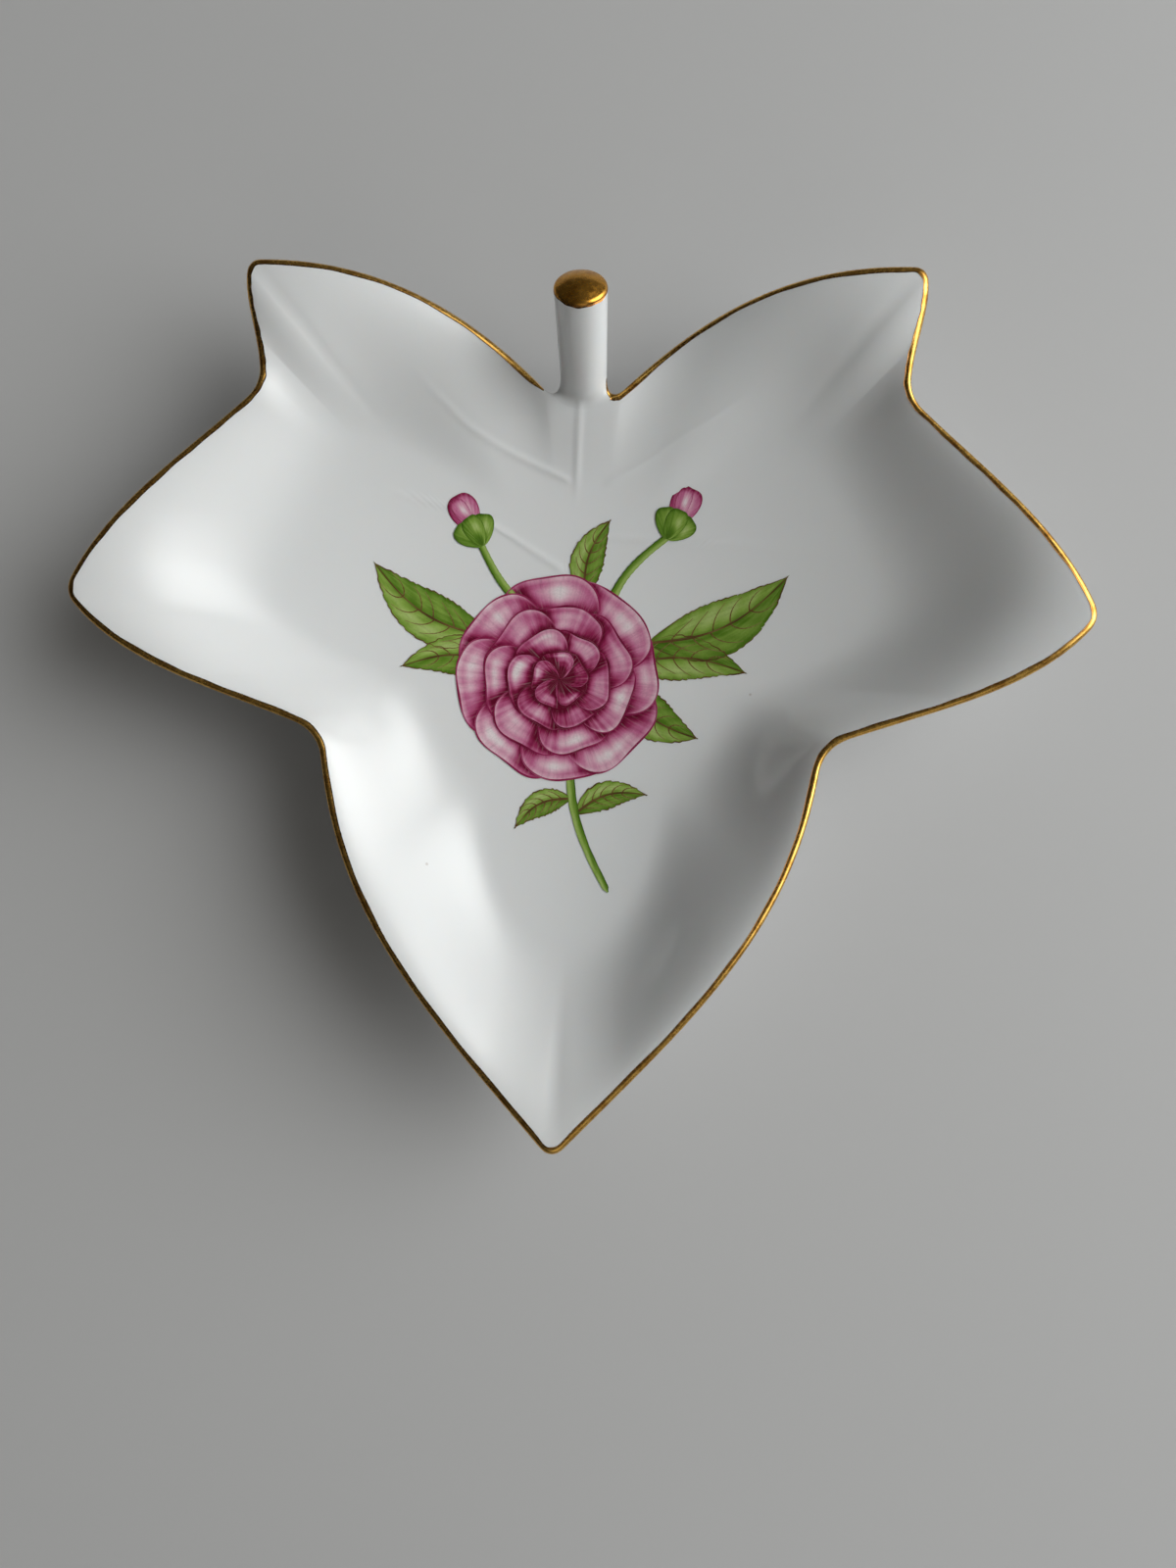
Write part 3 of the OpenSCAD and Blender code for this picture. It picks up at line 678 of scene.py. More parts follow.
def filmMesh(name, grid, thickness, material, node, pole=None):
    # a thin closed film: the grid pushed out along its normals, over the grid pushed slightly in.
    # Given a pole, the rows close round it and the film has one border only.
    closed = pole is not None
    n = gridNormals(grid, closed)
    rows, cols = grid.shape[:2]
    if np.mean(n[:, cols // 2, 2]) < 0:
        n = -n
    upper, lower = grid + n * thickness, grid - n * thickness
    points = np.concatenate([upper.reshape(-1, 3), lower.reshape(-1, 3)])
    count = rows * cols
    faces = gridFaces(rows, cols, closeRows=closed)
    faces += gridFaces(rows, cols, start=count, closeRows=closed, flip=True)
    border = []
    if closed:
        points = np.concatenate([points, [pole + stemAxis * thickness, pole - stemAxis * thickness]])
    for i in range(rows if closed else rows - 1):
        j = (i + 1) % rows
        a, b = i * cols + cols - 1, j * cols + cols - 1
        border.append((i * cols, i * cols + count, j * cols + count, j * cols))
        if closed:
            border += [(a, 2 * count, b), (b + count, 2 * count + 1, a + count)]
        else:
            border.append((a, b, b + count, a + count))
    if not closed:
        for k in range(cols - 1):
            border.append((k, k + 1, k + 1 + count, k + count))
            end = (rows - 1) * cols
            border.append((end + k + 1, end + k, end + k + count, end + k + 1 + count))
    edge = np.arange(cols) if closed else np.minimum(np.arange(cols), cols - 1 - np.arange(cols))
    full = np.tile(smoothStep(0.0, 0.3, edge / (cols / 2)), rows)
    full = np.concatenate([full, full, np.ones(len(points) - 2 * count)])
    tones = np.stack([full] * 3 + [np.ones(len(points))], 1)
    addMesh(name, points, faces + border, material, tones=tones, node=node)


def lipBand():
    # both painted edges wander, and the band narrows to nothing beside the stem
    first, last = leaf["seatSteps"], rowCount - leaf["seatSteps"] - leaf["cornerSteps"] + 2
    share = smoothStep(-1.0, gilding["taperRows"], last - 1 - np.arange(rowCount))
    start = gilding["start"] + gilding["startWander"] * wobble(11, rowCount, (7, 13, 29, 51, 88))
    end = gilding["end"] + gilding["endWander"] * wobble(12, rowCount, (5, 17, 33, 61, 97))
    start, end = mixed(gilding["middle"], start, share), mixed(gilding["middle"], end, share)
    angles = [mixed(start, end, t) for t in np.linspace(0.0, 1.0, gilding["steps"])]
    return np.stack([nosePoint(a) for a in angles], 1)[first:last]


filmMesh("giltRim", lipBand(), gilding["film"], lipGold, "gilt_rim")


def lipRunOn():
    # the brush carried the lip's gold a little way up the side of the stem, ever narrower
    count, levelCount = gilding["runSteps"], gilding["runLevels"]
    grid = np.zeros((count, levelCount, 3))
    for k in range(levelCount):
        half = gilding["runHalf"] * (1 - gilding["runTaper"] * k / (levelCount - 1))
        at = gilding["runMiddle"] + half * np.linspace(-1.0, 1.0, count)
        i = np.floor(at).astype(int)
        f = (at - i)[:, None]
        grid[:, k] = petiole[i % sides, k] * (1 - f) + petiole[(i + 1) % sides, k] * f
    return grid


def stemCap():
    # the petiole's rounded edge and dome, with the painted edge wandering down the side
    start = levels - (stem["edgeSteps"] - 1) - (stem["domeSteps"] - 2)
    grid = petiole[:, start:].copy()
    drop = gilding["capDrop"] + gilding["capWander"] * wobble(21, sides, (1, 2, 3, 5, 8, 13))
    grid[:, 0] -= stemAxis * drop[:, None]
    return grid


filmMesh("giltRunOn", lipRunOn(), gilding["film"], lipGold, None)
filmMesh("giltStemCap", stemCap(), gilding["film"], stemGold, "gilt_stem_cap", pole=stemTip)
print("gilding done")


# Printed spray: thin colours fired on the glaze. Each stroke is a closed film that follows the floor.

spray = {
    "film": 0.05, "under": 0.05, "bloomLift": 0.125, "rise": 0.075, "tilt": 0.03, "line": 0.014,
    "bloom": (229.0, 0.17), "bloomRadius": 19.0, "petalRows": 30, "petalSamples": 84, "lineSteps": 150,
    # each tier of petals: count, root, length and width as shares, and turn in degrees
    "tiers": [(8, 0.1, 0.9, 1.0, 10.0), (7, 0.06, 0.68, 1.05, 34.0),
              (6, 0.02, 0.48, 1.1, 4.0), (5, 0.0, 0.28, 1.15, 30.0)],
    "depths": [-0.10, -0.03, 0.08, 0.26], "lineReaches": [118.0, 118.0, 112.0, 84.0],
    "fineness": [2.6, 2.8, 3.2, 4.0], "contrasts": [0.20, 0.20, 0.22, 0.26],
    "lengths": (0.93, 1.0), "widths": (0.96, 1.08), "turns": (-5.0, 5.0), "penHalf": (0.09, 0.20),
    "pinks": [(0.0, (0.84, 0.74, 0.76)), (0.22, (0.74, 0.42, 0.53)), (0.5, (0.55, 0.14, 0.29)),
              (0.75, (0.31, 0.018, 0.09)), (1.0, (0.13, 0.002, 0.022))],
    "greens": [(0.0, (0.46, 0.58, 0.20)), (0.3, (0.24, 0.38, 0.06)),
               (0.6, (0.09, 0.20, 0.012)), (1.0, (0.02, 0.055, 0.003))],
    "browns": [(0.0, (0.34, 0.24, 0.10)), (0.5, (0.15, 0.075, 0.025)), (1.0, (0.055, 0.022, 0.010))],
    "palePink": (0.80, 0.62, 0.67), "linePink": (0.72, 0.37, 0.49),
    "paleGreen": (0.42, 0.55, 0.16), "paleBrown": (0.30, 0.33, 0.10), "gloss": (0.07, 0.19),
}


def inWell(spot):
    a = math.radians(spot[0])
    return centre + float(wellReach(np.array(spot[0]))) * spot[1] * np.array([math.cos(a), math.sin(a)])


def onFloor(plan, lift):
    r = np.linalg.norm(plan - centre, axis=-1)
    z = leaf["floorTop"] + hollow(r) + veinHeight(plan[..., 0], plan[..., 1]) + lift
    return np.concatenate([plan, z[..., None]], -1)


def toned(stops, t):
    places = [at for at, _ in stops]
    return np.stack([np.interp(t, places, [c[k] for _, c in stops]) for k in range(3)], -1)


def strokes(seed, x, waves, low=1.0, high=9.0):  # repeatable wander between about -1 and 1 along x
    rng = np.random.default_rng(seed)
    total = np.zeros(np.shape(x))
    for _ in range(waves):
        total += np.sin(rng.uniform(low, high) * x + rng.uniform(0, 6.28)) * rng.uniform(0.5, 1.0)
    return total / math.sqrt(waves)


def paintMaterial(name, fine, contrast, pale):
    # the painted tone, broken by dry brush streaks along each stroke and by the grain of the colour
    material, tree, body = newMaterial(name)
    body.inputs["IOR"].default_value = 1.5
    tone = addNode(tree, "ShaderNodeVertexColor", layer_name="tone")
    brush = addNode(tree, "ShaderNodeUVMap", uv_map="brush")
    turn = addNode(tree, "ShaderNodeMapping", {"Scale": (0.22, fine, 1.0)})
    link(tree, brush, "UV", turn, "Vector")
    streak = addNode(tree, "ShaderNodeTexNoise", {"Scale": 1.0, "Detail": 4.0, "Roughness": 0.62})
    link(tree, turn, "Vector", streak, "Vector")
    lighter = addRange(tree, streak, "Fac", (0.52, 0.78), (0.0, contrast))
    darker = addRange(tree, streak, "Fac", (0.25, 0.48), (1.0 - contrast, 1.0))
    shaded = addMix(tree, (tone, "Color"), (darker, "Result"), 1.0, "MULTIPLY")
    washed = addMix(tree, (shaded, "Result"), pale, (lighter, "Result"))
    grain = addNoise(tree, 2600.0, 2.0, 0.7)
    dust = addRamp(tree, grain, "Fac", [(0.3, (0.88, 0.88, 0.88)), (0.7, (1.1, 1.1, 1.1))])
    final = addMix(tree, (washed, "Result"), (dust, "Color"), 0.7, "MULTIPLY")
    link(tree, final, "Result", body, "Base Color")
    gloss = addRange(tree, grain, "Fac", (0.0, 1.0), spray["gloss"])
    link(tree, gloss, "Result", body, "Roughness")
    return material


def paint(name, patches, material, node):
    # each patch holds a plan grid, its lift over the glaze, its colours and its brush coordinates
    points, faces, tones, brushes, normals = [], [], [], [], []
    start = 0
    for plan, lift, colour, brush in patches:
        if np.cross(plan[1, 1] - plan[1, 0], plan[2, 0] - plan[1, 0]) > 0:
            plan, lift, colour, brush = (np.flip(g, 1) for g in (plan, lift, colour, brush))
        rows, cols = plan.shape[:2]
        count = rows * cols
        upper, lower = onFloor(plan, lift), onFloor(plan, lift - spray["under"])
        up = unit(np.array([centre[0], centre[1], leaf["floorTop"] + leaf["hollowRadius"]]) - upper)
        points += [upper.reshape(-1, 3), lower.reshape(-1, 3)]
        normals += [up.reshape(-1, 3), -up.reshape(-1, 3)]
        opaque = np.concatenate([colour, np.ones((rows, cols, 1))], 2).reshape(-1, 4)
        tones += [opaque, opaque]
        brushes += [brush.reshape(-1, 2)] * 2
        faces += gridFaces(rows, cols, start=start, flip=True) + gridFaces(rows, cols, start=start + count)
        edge = list(range(cols)) + [i * cols + cols - 1 for i in range(1, rows)]
        edge += [(rows - 1) * cols + k for k in range(cols - 2, -1, -1)]
        edge += [i * cols for i in range(rows - 2, 0, -1)]
        for a, b in zip(edge, edge[1:] + edge[:1]):
            faces.append((start + a, start + b, start + b + count, start + a + count))
        start += 2 * count
    addMesh(name, np.concatenate(points), faces, material, tones=np.concatenate(tones),
            uvs=np.concatenate(brushes), normals=np.concatenate(normals), node=node)


def turned(points, degrees, at):
    a = math.radians(degrees)
    return points @ np.array([[math.cos(a), math.sin(a)], [-math.sin(a), math.cos(a)]]) + at


def petalEdge(length, width, a, wander):
    x = (1 + np.cos(a)) / 2 - 0.05 * np.maximum(np.cos(a), 0) ** 12
    y = width * np.sin(a) * (1 + 0.3 * np.cos(a)) / 2
    return length * np.stack([x, y], -1) * (1 + wander)[..., None]


petalTurn = np.radians(np.linspace(-172.0, 172.0, spray["petalSamples"]))
bloomAt = inWell(spray["bloom"])


def petalOutline(tier, i, a=petalTurn):
    # edge of one petal in the plan, with a slight hand-painted wander, and its root
    count, start, length, width, turn = spray["tiers"][tier]
    seed = 100 * tier + i % count
    hand = np.random.default_rng(9000 + seed)
    wander = 0.018 * strokes(seed, a, 3, 2.0, 6.0) * np.cos(a / 2) ** 2
    size = length * spray["bloomRadius"] * hand.uniform(*spray["lengths"])
    edge = petalEdge(size, width * hand.uniform(*spray["widths"]), a, wander)
    root = np.array([start * spray["bloomRadius"], 0.0])
    degrees = turn + i * 360.0 / count + hand.uniform(*spray["turns"])
    return turned(edge + root, degrees, bloomAt), turned(root[None], degrees, bloomAt)[0]


def shadeFrom(plan, covers, reach):
    # how deep the shade beside the petals that lie over this one
    flat = plan.reshape(-1, 2)
    nearest = np.full(len(flat), 1e9)
    for line in covers:
        gaps = np.linalg.norm(flat[:, None] - line[None], axis=2).min(1)
        nearest = np.minimum(nearest, gaps)
    return np.exp(-nearest / reach).reshape(plan.shape[:2])


def petalGrid(edge, root, rows):
    # points from root to edge, with each one's share of the way, its turn and its place across
    rho = np.linspace(0.03, 1.0, rows)[:, None] + 0 * petalTurn
    a = petalTurn + 0 * rho
    return root + (edge - root)[None] * rho[..., None], rho, a, rho * np.sin(a)


def petalPatch(tier, i):
    # a pale patch and a glow near the tip, a dark root, a fold and the shade of the petals above
    seed = 1000 + 100 * tier + i
    rng = np.random.default_rng(seed)
    plan, rho, a, lateral = petalGrid(*petalOutline(tier, i), spray["petalRows"])
    covers = [petalOutline(tier, i + 1)[0]]
    if tier + 1 < len(spray["tiers"]):
        covers += [petalOutline(tier + 1, k)[0] for k in range(spray["tiers"][tier + 1][0])]
    size = spray["tiers"][tier][2] * spray["bloomRadius"]
    shade = shadeFrom(plan, covers, 0.55 + 0.05 * size)
    lean, height = rng.uniform(-0.45, 0.15), rng.uniform(0.70, 0.82)
    patch = bell(rho, height, 0.13) * bell(lateral, lean, 0.38)
    glow = bell(rho, 0.86, 0.05) * smoothStep(0.75, 0.1, np.abs(lateral - lean * 0.5))
    fold = bell(lateral, lean + 0.42 + 0.2 * rho, 0.09) * smoothStep(0.3, 0.7, rho)
    rim = smoothStep(0.945, 0.985, rho)
    streak = strokes(seed, a * 9.0, 7, 0.6, 3.2) * smoothStep(0.05, 0.5, rho)
    ripple = strokes(seed + 7, rho * 26.0 + 2.2 * np.cos(a), 4, 0.6, 1.6)
    t = 0.48 + spray["depths"][tier] + rng.uniform(-0.09, 0.07)
    t = t + 0.36 * (1 - smoothStep(0.12, 0.66, rho)) + 0.74 * shade + 0.16 * fold
    t = t - rng.uniform(0.38, 0.64) * patch - 0.20 * glow - 0.24 * rim + 0.08 * streak + 0.06 * ripple
    lift = spray["bloomLift"] + spray["rise"] * tier - spray["tilt"] * lateral
    brush = np.stack([rho * size, a * size * 0.42 + seed], 2)
    return plan, lift, toned(spray["pinks"], np.clip(t, 0, 1)), brush


def linePatch(course, halfWidths, lift, colour, seed):
    # a thin stroke along a plan course
    way = unit(np.gradient(course, axis=0))
    side = np.stack([-way[:, 1], way[:, 0]], 1)
    across = np.array([-1.0, -0.35, 0.35, 1.0])
    plan = course[:, None] + side[:, None] * halfWidths[:, None, None] * across[None, :, None]
    run = np.concatenate([[0], np.cumsum(np.linalg.norm(np.diff(course, axis=0), axis=1))])
    brush = np.stack([run[:, None] + 0 * across, halfWidths[:, None] * across + seed], 2)
    lift = np.broadcast_to(np.asarray(lift).reshape(-1, 1), plan.shape[:2])
    return plan, lift, np.repeat(colour[:, None], len(across), 1), brush


def petalLine(tier, i):
    # the pen line presses and lifts along the part of the edge that shows
    reach = np.radians(spray["lineReaches"][tier])
    a = np.linspace(-reach, reach, spray["lineSteps"])
    edge, root = petalOutline(tier, i, a)
    seed = 3000 + 100 * tier + i
    press = 0.5 + 0.5 * strokes(seed, a * 3.0, 4, 0.8, 3.0)
    ends = np.clip(3.2 * (1 - np.abs(a) / reach), 0.15, 1)
    halfWidths = mixed(*spray["penHalf"], np.clip(press, 0, 1)) * ends
    course = root + (edge - root) * (1 - 0.02 / np.maximum(np.linalg.norm(edge - root, axis=1), 1))[:, None]
    lift = spray["bloomLift"] + spray["rise"] * tier - spray["tilt"] * np.sin(a) + spray["line"]
    t = np.clip(0.62 + 0.24 * press + 0.1 * tier, 0.35, 1)
    return linePatch(course, halfWidths, lift, toned(spray["pinks"], t), seed)


for tier, (name, node) in enumerate([
        ("outerPetals", "print_outer_petals"), ("middlePetals", "print_middle_petals"),
        ("innerPetals", "print_inner_petals"), ("flowerHeart", "print_flower_heart")]):
    fine, contrast = spray["fineness"][tier], spray["contrasts"][tier]
    colour = paintMaterial(name + "Paint", fine, contrast, spray["palePink"])
    paint(name, [petalPatch(tier, i) for i in range(spray["tiers"][tier][0])], colour, node)
petalLines = [petalLine(tier, i) for tier, row in enumerate(spray["tiers"]) for i in range(row[0])]
linePaint = paintMaterial("petalLinePaint", 4.0, 0.3, spray["linePink"])
paint("petalLines", petalLines, linePaint, "print_petal_lines")
print("flower painted")


# Leaves, ribs, stalks and buds of the spray

sprig = {
    # places are a bearing and a share of the well's reach; then come the bow and a blade's width
    "blades": [((-6, 0.25), (-3, 0.86), 0.1, 0.36), ((16, 0.25), (23, 0.78), -0.12, 0.36),
               ((-24, 0.3), (-31, 0.96), -0.1, 0.44), ((166, 0.3), (156, 0.78), 0.12, 0.36),
               ((190, 0.4), (184, 0.93), -0.12, 0.36), ((-89, 0.56), (-60, 0.9), 0.14, 0.36),
               ((-89, 0.5), (-108, 0.8), -0.16, 0.4), ((84, 0.4), (78, 0.96), 0.12, 0.4)],
    "stalks": [((40, 0.1), (55, 0.74), 0.12), ((120, 0.2), (131, 0.6), 0.1), ((-90, 0.2), (-80, 0.9), -0.1)],
    "buds": [((55, 0.72), 64), ((131, 0.58), 120)],
    # each cone or scale of a bud: place along it, length, width as a share, turn, lift and depth of tone
    "cones": [(0.25, 7.5, 0.68, 0.0, 0.02, 0.58), (0.33, 6.3, 0.42, 7.0, 0.04, 0.44)],
    "scales": [(0.0, 5.8, 0.62, -30.0, 0.07, 0.46), (0.0, 5.8, 0.62, 30.0, 0.095, 0.46),
               (0.0, 5.8, 0.62, 0.0, 0.12, 0.46)],
    "budLength": 10.0, "budTilt": 0.01, "budRows": 20,
    "stalkHalf": 0.85, "stalkLift": 0.06, "stalkSteps": 90, "stalkColumns": 11,
    "tooth": 0.3, "toothLength": 1.5, "toothInset": 0.1, "toothedFrom": 0.6, "bladeInset": 0.12,
    "bladeLeast": 0.03, "bladeRise": 0.005, "bladeSteps": 150, "bladeColumns": 25,
    "ribShares": (0.16, 0.29, 0.42, 0.55, 0.68), "ribHalf": (0.24, 0.09), "sideRibHalf": (0.13, 0.045),
    "marginHalf": (0.03, 0.115), "ribSteps": 70, "sideRibSteps": 26, "marginSteps": 120,
}


def bowed(start, end, bow, t):
    # point and sideways direction along a curve that bows to its left by a share of its length
    run = end - start
    perp = np.array([-run[1], run[0]])
    at = start + run * t[:, None] + perp * bow * np.sin(np.pi * t)[:, None]
    way = unit(run + perp * bow * np.pi * np.cos(np.pi * t)[:, None])
    return at, np.stack([-way[:, 1], way[:, 0]], 1)


def bladeSwell(t):
    return np.maximum(np.sin(np.pi * t ** 0.85), 0.02)


def bladeShape(blade):
    start, end = inWell(blade[0]), inWell(blade[1])
    length = np.linalg.norm(end - start)
    return start, end, blade[2], blade[3] * length / 2, length


def bladeTeeth(number, t, length):
    teeth = (t * length / sprig["toothLength"] + 0.3 * strokes(number, t * 9, 3)) % 1.0
    return sprig["tooth"] * teeth * smoothStep(0.1, 0.3, t) * smoothStep(1.0, 0.85, t) - sprig["toothInset"]


def bladeHalf(t, full):
    return np.maximum(full * bladeSwell(t) - sprig["bladeInset"], sprig["bladeLeast"])


def bladeLift(number):
    return spray["film"] + sprig["bladeRise"] * number


def bladePatch(number, blade):
    # one half of the blade is lighter, with a sheen on each side, a dark rib and margin and a dark root
    start, end, bow, full, length = bladeShape(blade)
    t = np.linspace(0.0, 1.0, sprig["bladeSteps"])
    v = np.linspace(-1.0, 1.0, sprig["bladeColumns"])
    at, side = bowed(start, end, bow, t)
    half = bladeHalf(t, full)[:, None]
    outer = smoothStep(0.5, 1.0, np.abs(v))[None] * (half > sprig["toothedFrom"])
    half = half + bladeTeeth(number, t, length)[:, None] * outer
    plan = at[:, None] + side[:, None] * (half * v[None])[..., None]
    along, across = np.meshgrid(t, v, indexing="ij")
    bright = 1.0 if number % 2 else -1.0
    towards = smoothStep(-0.25, 0.25, across * bright)
    sheen = bell(np.abs(across), 0.52, 0.24) * bell(along, 0.48, 0.26)
    ribs = np.cos(2 * np.pi * (along * 6.2 - np.abs(across) * 1.15 - 0.1))
    grainy = strokes(number + 40, across * 14 + along * 3, 5, 0.6, 2.4)
    depth = 0.50 - 0.20 * towards - 0.22 * sheen * (0.45 + 0.55 * towards)
    depth = depth + 0.26 * bell(across, 0.0, 0.15) * (1 - 0.5 * towards)
    depth = depth + 0.20 * smoothStep(0.80, 1.0, np.abs(across)) + 0.30 * (1 - smoothStep(0.0, 0.22, along))
    depth = depth + 0.16 * smoothStep(0.8, 1.0, along) - 0.055 * ribs + 0.05 * grainy
    brush = np.stack([along * length + across * 1.2, across * full + number * 17], 2)
    return plan, bladeLift(number) + 0 * across, toned(spray["greens"], np.clip(depth, 0, 1)), brush


def ribPatches(number, blade):
    # the middle rib, the side ribs and the margin's pen line
    start, end, bow, full, length = bladeShape(blade)
    t = np.linspace(0.0, 0.97, sprig["ribSteps"])
    at, _ = bowed(start, end, bow, t)
    press = strokes(number + 60, t * 12, 4, 0.6, 2.0)
    lift = bladeLift(number) + spray["line"]
    tone = np.clip(0.62 + 0.2 * press, 0, 1)
    halfWidths = mixed(*sprig["ribHalf"], t) + 0.025 * press
    made = [linePatch(at, halfWidths, lift, toned(spray["browns"], tone), number)]
    for k, share in enumerate(sprig["ribShares"]):
        for sign in (-1.0, 1.0):
            rng = np.random.default_rng(700 + number * 20 + k * 2 + int(sign > 0))
            s = np.linspace(0.0, 1.0, sprig["sideRibSteps"])
            onRib = share + rng.uniform(-0.02, 0.02) + (0.05 + 0.11 * s) * s
            at, side = bowed(start, end, bow, onRib)
            out = sign * rng.uniform(0.68, 0.84) * s ** 0.85 * full * bladeSwell(onRib)
            tone = np.clip(0.55 - 0.35 * s + 0.15 * strokes(number + k, s * 6, 3), 0, 1)
            course = at + side * out[:, None]
            halfWidths = mixed(*sprig["sideRibHalf"], s)
            made.append(linePatch(course, halfWidths, lift, toned(spray["browns"], tone), k))
    for sign in (-1.0, 1.0):
        t = np.linspace(0.02, 0.99, sprig["marginSteps"])
        at, side = bowed(start, end, bow, t)
        course = at + side * (sign * (bladeHalf(t, full) + bladeTeeth(number, t, length)))[:, None]
        course[1:-1] = (course[:-2] + 2 * course[1:-1] + course[2:]) / 4
        press = 0.5 + 0.6 * strokes(number * 3 + int(sign) + 5, t * 14, 4, 0.6, 2.4)
        halfWidths = mixed(*sprig["marginHalf"], np.clip(press, 0, 1) * smoothStep(0.0, 0.1, t))
        tone = np.clip(0.35 + 0.35 * press, 0.1, 0.9)
        made.append(linePatch(course, halfWidths, lift, toned(spray["browns"], tone), number))
    return made


def stalkPatch(number, stalk):
    start, end = inWell(stalk[0]), inWell(stalk[1])
    t = np.linspace(0.0, 1.0, sprig["stalkSteps"])
    v = np.linspace(-1.0, 1.0, sprig["stalkColumns"])
    at, side = bowed(start, end, stalk[2], t)
    half = sprig["stalkHalf"] * (1 - 0.3 * t) * (1 + 0.05 * strokes(number, t * 20, 3))
    half = half * np.clip((1 - t) * 40, 0.25, 1)
    plan = at[:, None] + side[:, None] * (half[:, None] * v[None])[..., None]
    along, across = np.meshgrid(t, v, indexing="ij")
    depth = 0.40 + 0.34 * across + 0.35 * smoothStep(0.72, 1.0, np.abs(across))
    depth = depth - 0.1 * bell(across, -0.3, 0.3) + 0.07 * strokes(number + 9, along * 25 + across * 2, 4)
    brush = np.stack([along * 30, across * half[:, None] + number * 9], 2)
    lift = spray["film"] + sprig["stalkLift"] + 0 * across
    return plan, lift, toned(spray["greens"], np.clip(depth, 0, 1)), brush


def budPetal(bud, petal, seed, colour):
    spot, facing = bud
    share, length, width, degrees, lift, depth = petal
    wander = 0.015 * strokes(seed, petalTurn, 3, 2.0, 5.0) * np.cos(petalTurn / 2) ** 2
    offset = np.array([sprig["budLength"] * share, 0.0])
    edge = turned(petalEdge(length, width, petalTurn, wander), degrees, offset)
    edge, root = turned(edge, facing, inWell(spot)), turned(offset[None], facing, inWell(spot))[0]
    plan, rho, a, lateral = petalGrid(edge, root, sprig["budRows"])
    sheen = bell(rho, 0.62, 0.2) * bell(lateral, -0.2, 0.3)
    t = depth + 0.3 * (1 - smoothStep(0.1, 0.6, rho)) + 0.34 * smoothStep(0.86, 1.0, rho) - 0.4 * sheen
    t = t + 0.06 * strokes(seed + 3, a * 7, 5, 0.6, 2.6) + 0.12 * lateral
    lift = spray["film"] + lift - sprig["budTilt"] * lateral
    brush = np.stack([rho * length, a * length * 0.4 + seed], 2)
    return plan, lift, toned(colour, np.clip(t, 0, 1)), brush


cones, scales = [], []
for number, bud in enumerate(sprig["buds"]):
    for k, petal in enumerate(sprig["cones"]):
        cones.append(budPetal(bud, petal, 80 + 10 * k + number, spray["pinks"]))
    for k, petal in enumerate(sprig["scales"]):
        scales.append(budPetal(bud, petal, 50 + 5 * number + k, spray["greens"]))
blades = [bladePatch(k, b) for k, b in enumerate(sprig["blades"])]
ribs = [patch for k, b in enumerate(sprig["blades"]) for patch in ribPatches(k, b)]
stalks = [stalkPatch(k, b) for k, b in enumerate(sprig["stalks"])]
for name, patches, paintName, fine, contrast, pale, node in [
        ("printLeaves", blades, "leafPaint", 1.7, 0.26, "paleGreen", "print_leaves"),
        ("printRibs", ribs, "ribPaint", 3.0, 0.3, "paleBrown", "print_leaf_ribs"),
        ("printStalks", stalks, "stalkPaint", 2.4, 0.24, "paleGreen", "print_stalks"),
        ("printSepals", scales, "sepalPaint", 2.2, 0.26, "paleGreen", "print_sepals"),
        ("printBuds", cones, "budPaint", 2.8, 0.2, "palePink", "print_buds")]:
    paint(name, patches, paintMaterial(paintName, fine, contrast, spray[pale]), node)
print("spray painted")


# Floor, light and camera

studio = {
    # metres, watts and degrees
    "floor": (0.56, 0.56, 0.565), "floorHalf": 3.0, "floorRoughness": 0.6,
    "sky": (0.02, 0.15), "skyColour": (1.0, 0.96, 0.86), "aim": (0.0, 0.0, 0.01),
    "keyPower": 100.0, "keySize": 2.75, "keyAt": (1.24, 0.29, 0.80), "keyColour": (0.985, 1.0, 0.99),
    "fillPower": 4.0, "fillSize": 1.8, "fillAt": (0.30, -1.10, 0.85), "fillColour": (1.0, 0.98, 0.94),
    # the focal length is in pixels of a picture that is this many pixels high
    "focalPixels": 1202.0, "heightPixels": 1600.0, "sensor": 36.0,
    "cameraAt": (0.01343, -0.01500, 0.21276), "cameraTurn": (1.08, 2.91, 2.04),
}


def makeFloor():
    material, tree, body = newMaterial("paleFloor")
    cloud = addNoise(tree, 3.0, 2.0)
    low = tuple(c * 0.97 for c in studio["floor"])
    colour = addRamp(tree, cloud, "Fac", [(0.3, low), (0.7, studio["floor"])])
    link(tree, colour, "Color", body, "Base Color")
    body.inputs["Roughness"].default_value = studio["floorRoughness"]
    mesh = bpy.data.meshes.new("floor")
    size = studio["floorHalf"]
    corners = [(-size, -size, 0.0), (size, -size, 0.0), (size, size, 0.0), (-size, size, 0.0)]
    mesh.from_pydata(corners, [], [(0, 1, 2, 3)])
    mesh.materials.append(material)
    floor = bpy.data.objects.new("floor", mesh)
    scene.collection.objects.link(floor)


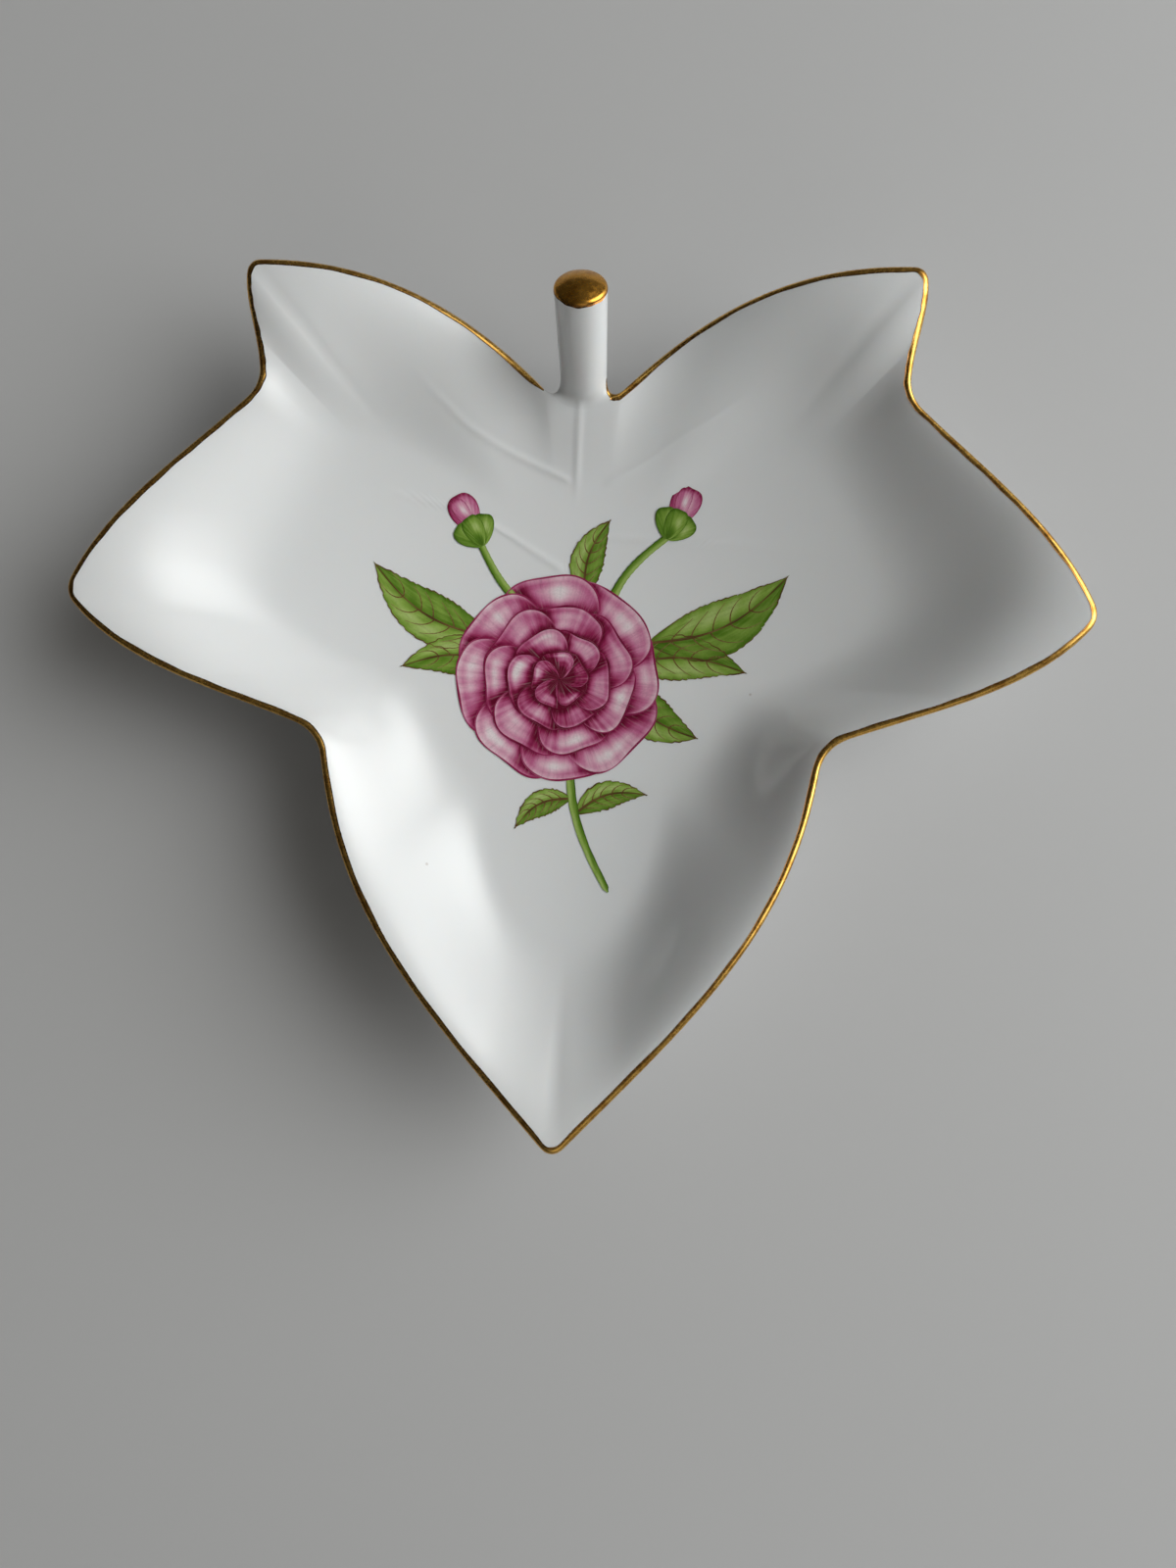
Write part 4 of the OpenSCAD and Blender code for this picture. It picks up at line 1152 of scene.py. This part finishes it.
def makeSky():
    world = bpy.data.worlds.new("softRoom")
    scene.world = world
    world.use_nodes = True
    tree = world.node_tree
    sky = tree.nodes["Background"]
    place = addNode(tree, "ShaderNodeTexCoord")
    split = addNode(tree, "ShaderNodeSeparateXYZ")
    link(tree, place, "Generated", split, "Vector")
    level = addRange(tree, split, "X", (-0.9, 0.9), studio["sky"])
    link(tree, level, "Result", sky, "Strength")
    sky.inputs["Color"].default_value = (*studio["skyColour"], 1.0)


def makeLamp(name):
    # the light fades towards the lamp's edge, so that its reflection in the glaze has a soft edge
    lamp = bpy.data.lights.new(name, "AREA")
    lamp.shape = "DISK"
    lamp.size = studio[name + "Size"]
    lamp.energy = studio[name + "Power"]
    lamp.color = studio[name + "Colour"]
    lamp.use_nodes = True
    tree = lamp.node_tree
    place = addNode(tree, "ShaderNodeTexCoord")
    fromMiddle = addNode(tree, "ShaderNodeVectorMath", {1: (0.5, 0.5, 0.0)}, operation="DISTANCE")
    link(tree, place, "UV", fromMiddle, 0)
    fade = addRange(tree, fromMiddle, "Value", (0.5, 0.0), (0.0, 1.0), ease="SMOOTHERSTEP")
    link(tree, fade, "Result", tree.nodes["Emission"], "Strength")
    placed = bpy.data.objects.new(name, lamp)
    scene.collection.objects.link(placed)
    at = np.array(studio[name + "At"])
    back = unit(at - np.array(studio["aim"]))
    side = unit(np.cross([0.0, 0.0, 1.0], back))
    up = np.cross(back, side)
    placed.matrix_world = Matrix([[side[k], up[k], back[k], at[k]] for k in range(3)] + [[0, 0, 0, 1]])


def makeCamera():
    lens = bpy.data.cameras.new("camera")
    lens.sensor_width = studio["sensor"]
    lens.lens = studio["focalPixels"] / studio["heightPixels"] * studio["sensor"]
    lens.clip_start = 0.01
    camera = bpy.data.objects.new("camera", lens)
    scene.collection.objects.link(camera)
    place = Matrix.Translation(studio["cameraAt"])
    for degrees, axis in zip(studio["cameraTurn"][::-1], "ZYX"):
        place = place @ Matrix.Rotation(math.radians(degrees), 4, axis)
    camera.matrix_world = place
    scene.camera = camera


makeFloor()
makeSky()
makeLamp("key")
makeLamp("fill")
makeCamera()
scene.view_settings.view_transform = "Standard"
print("studio done")
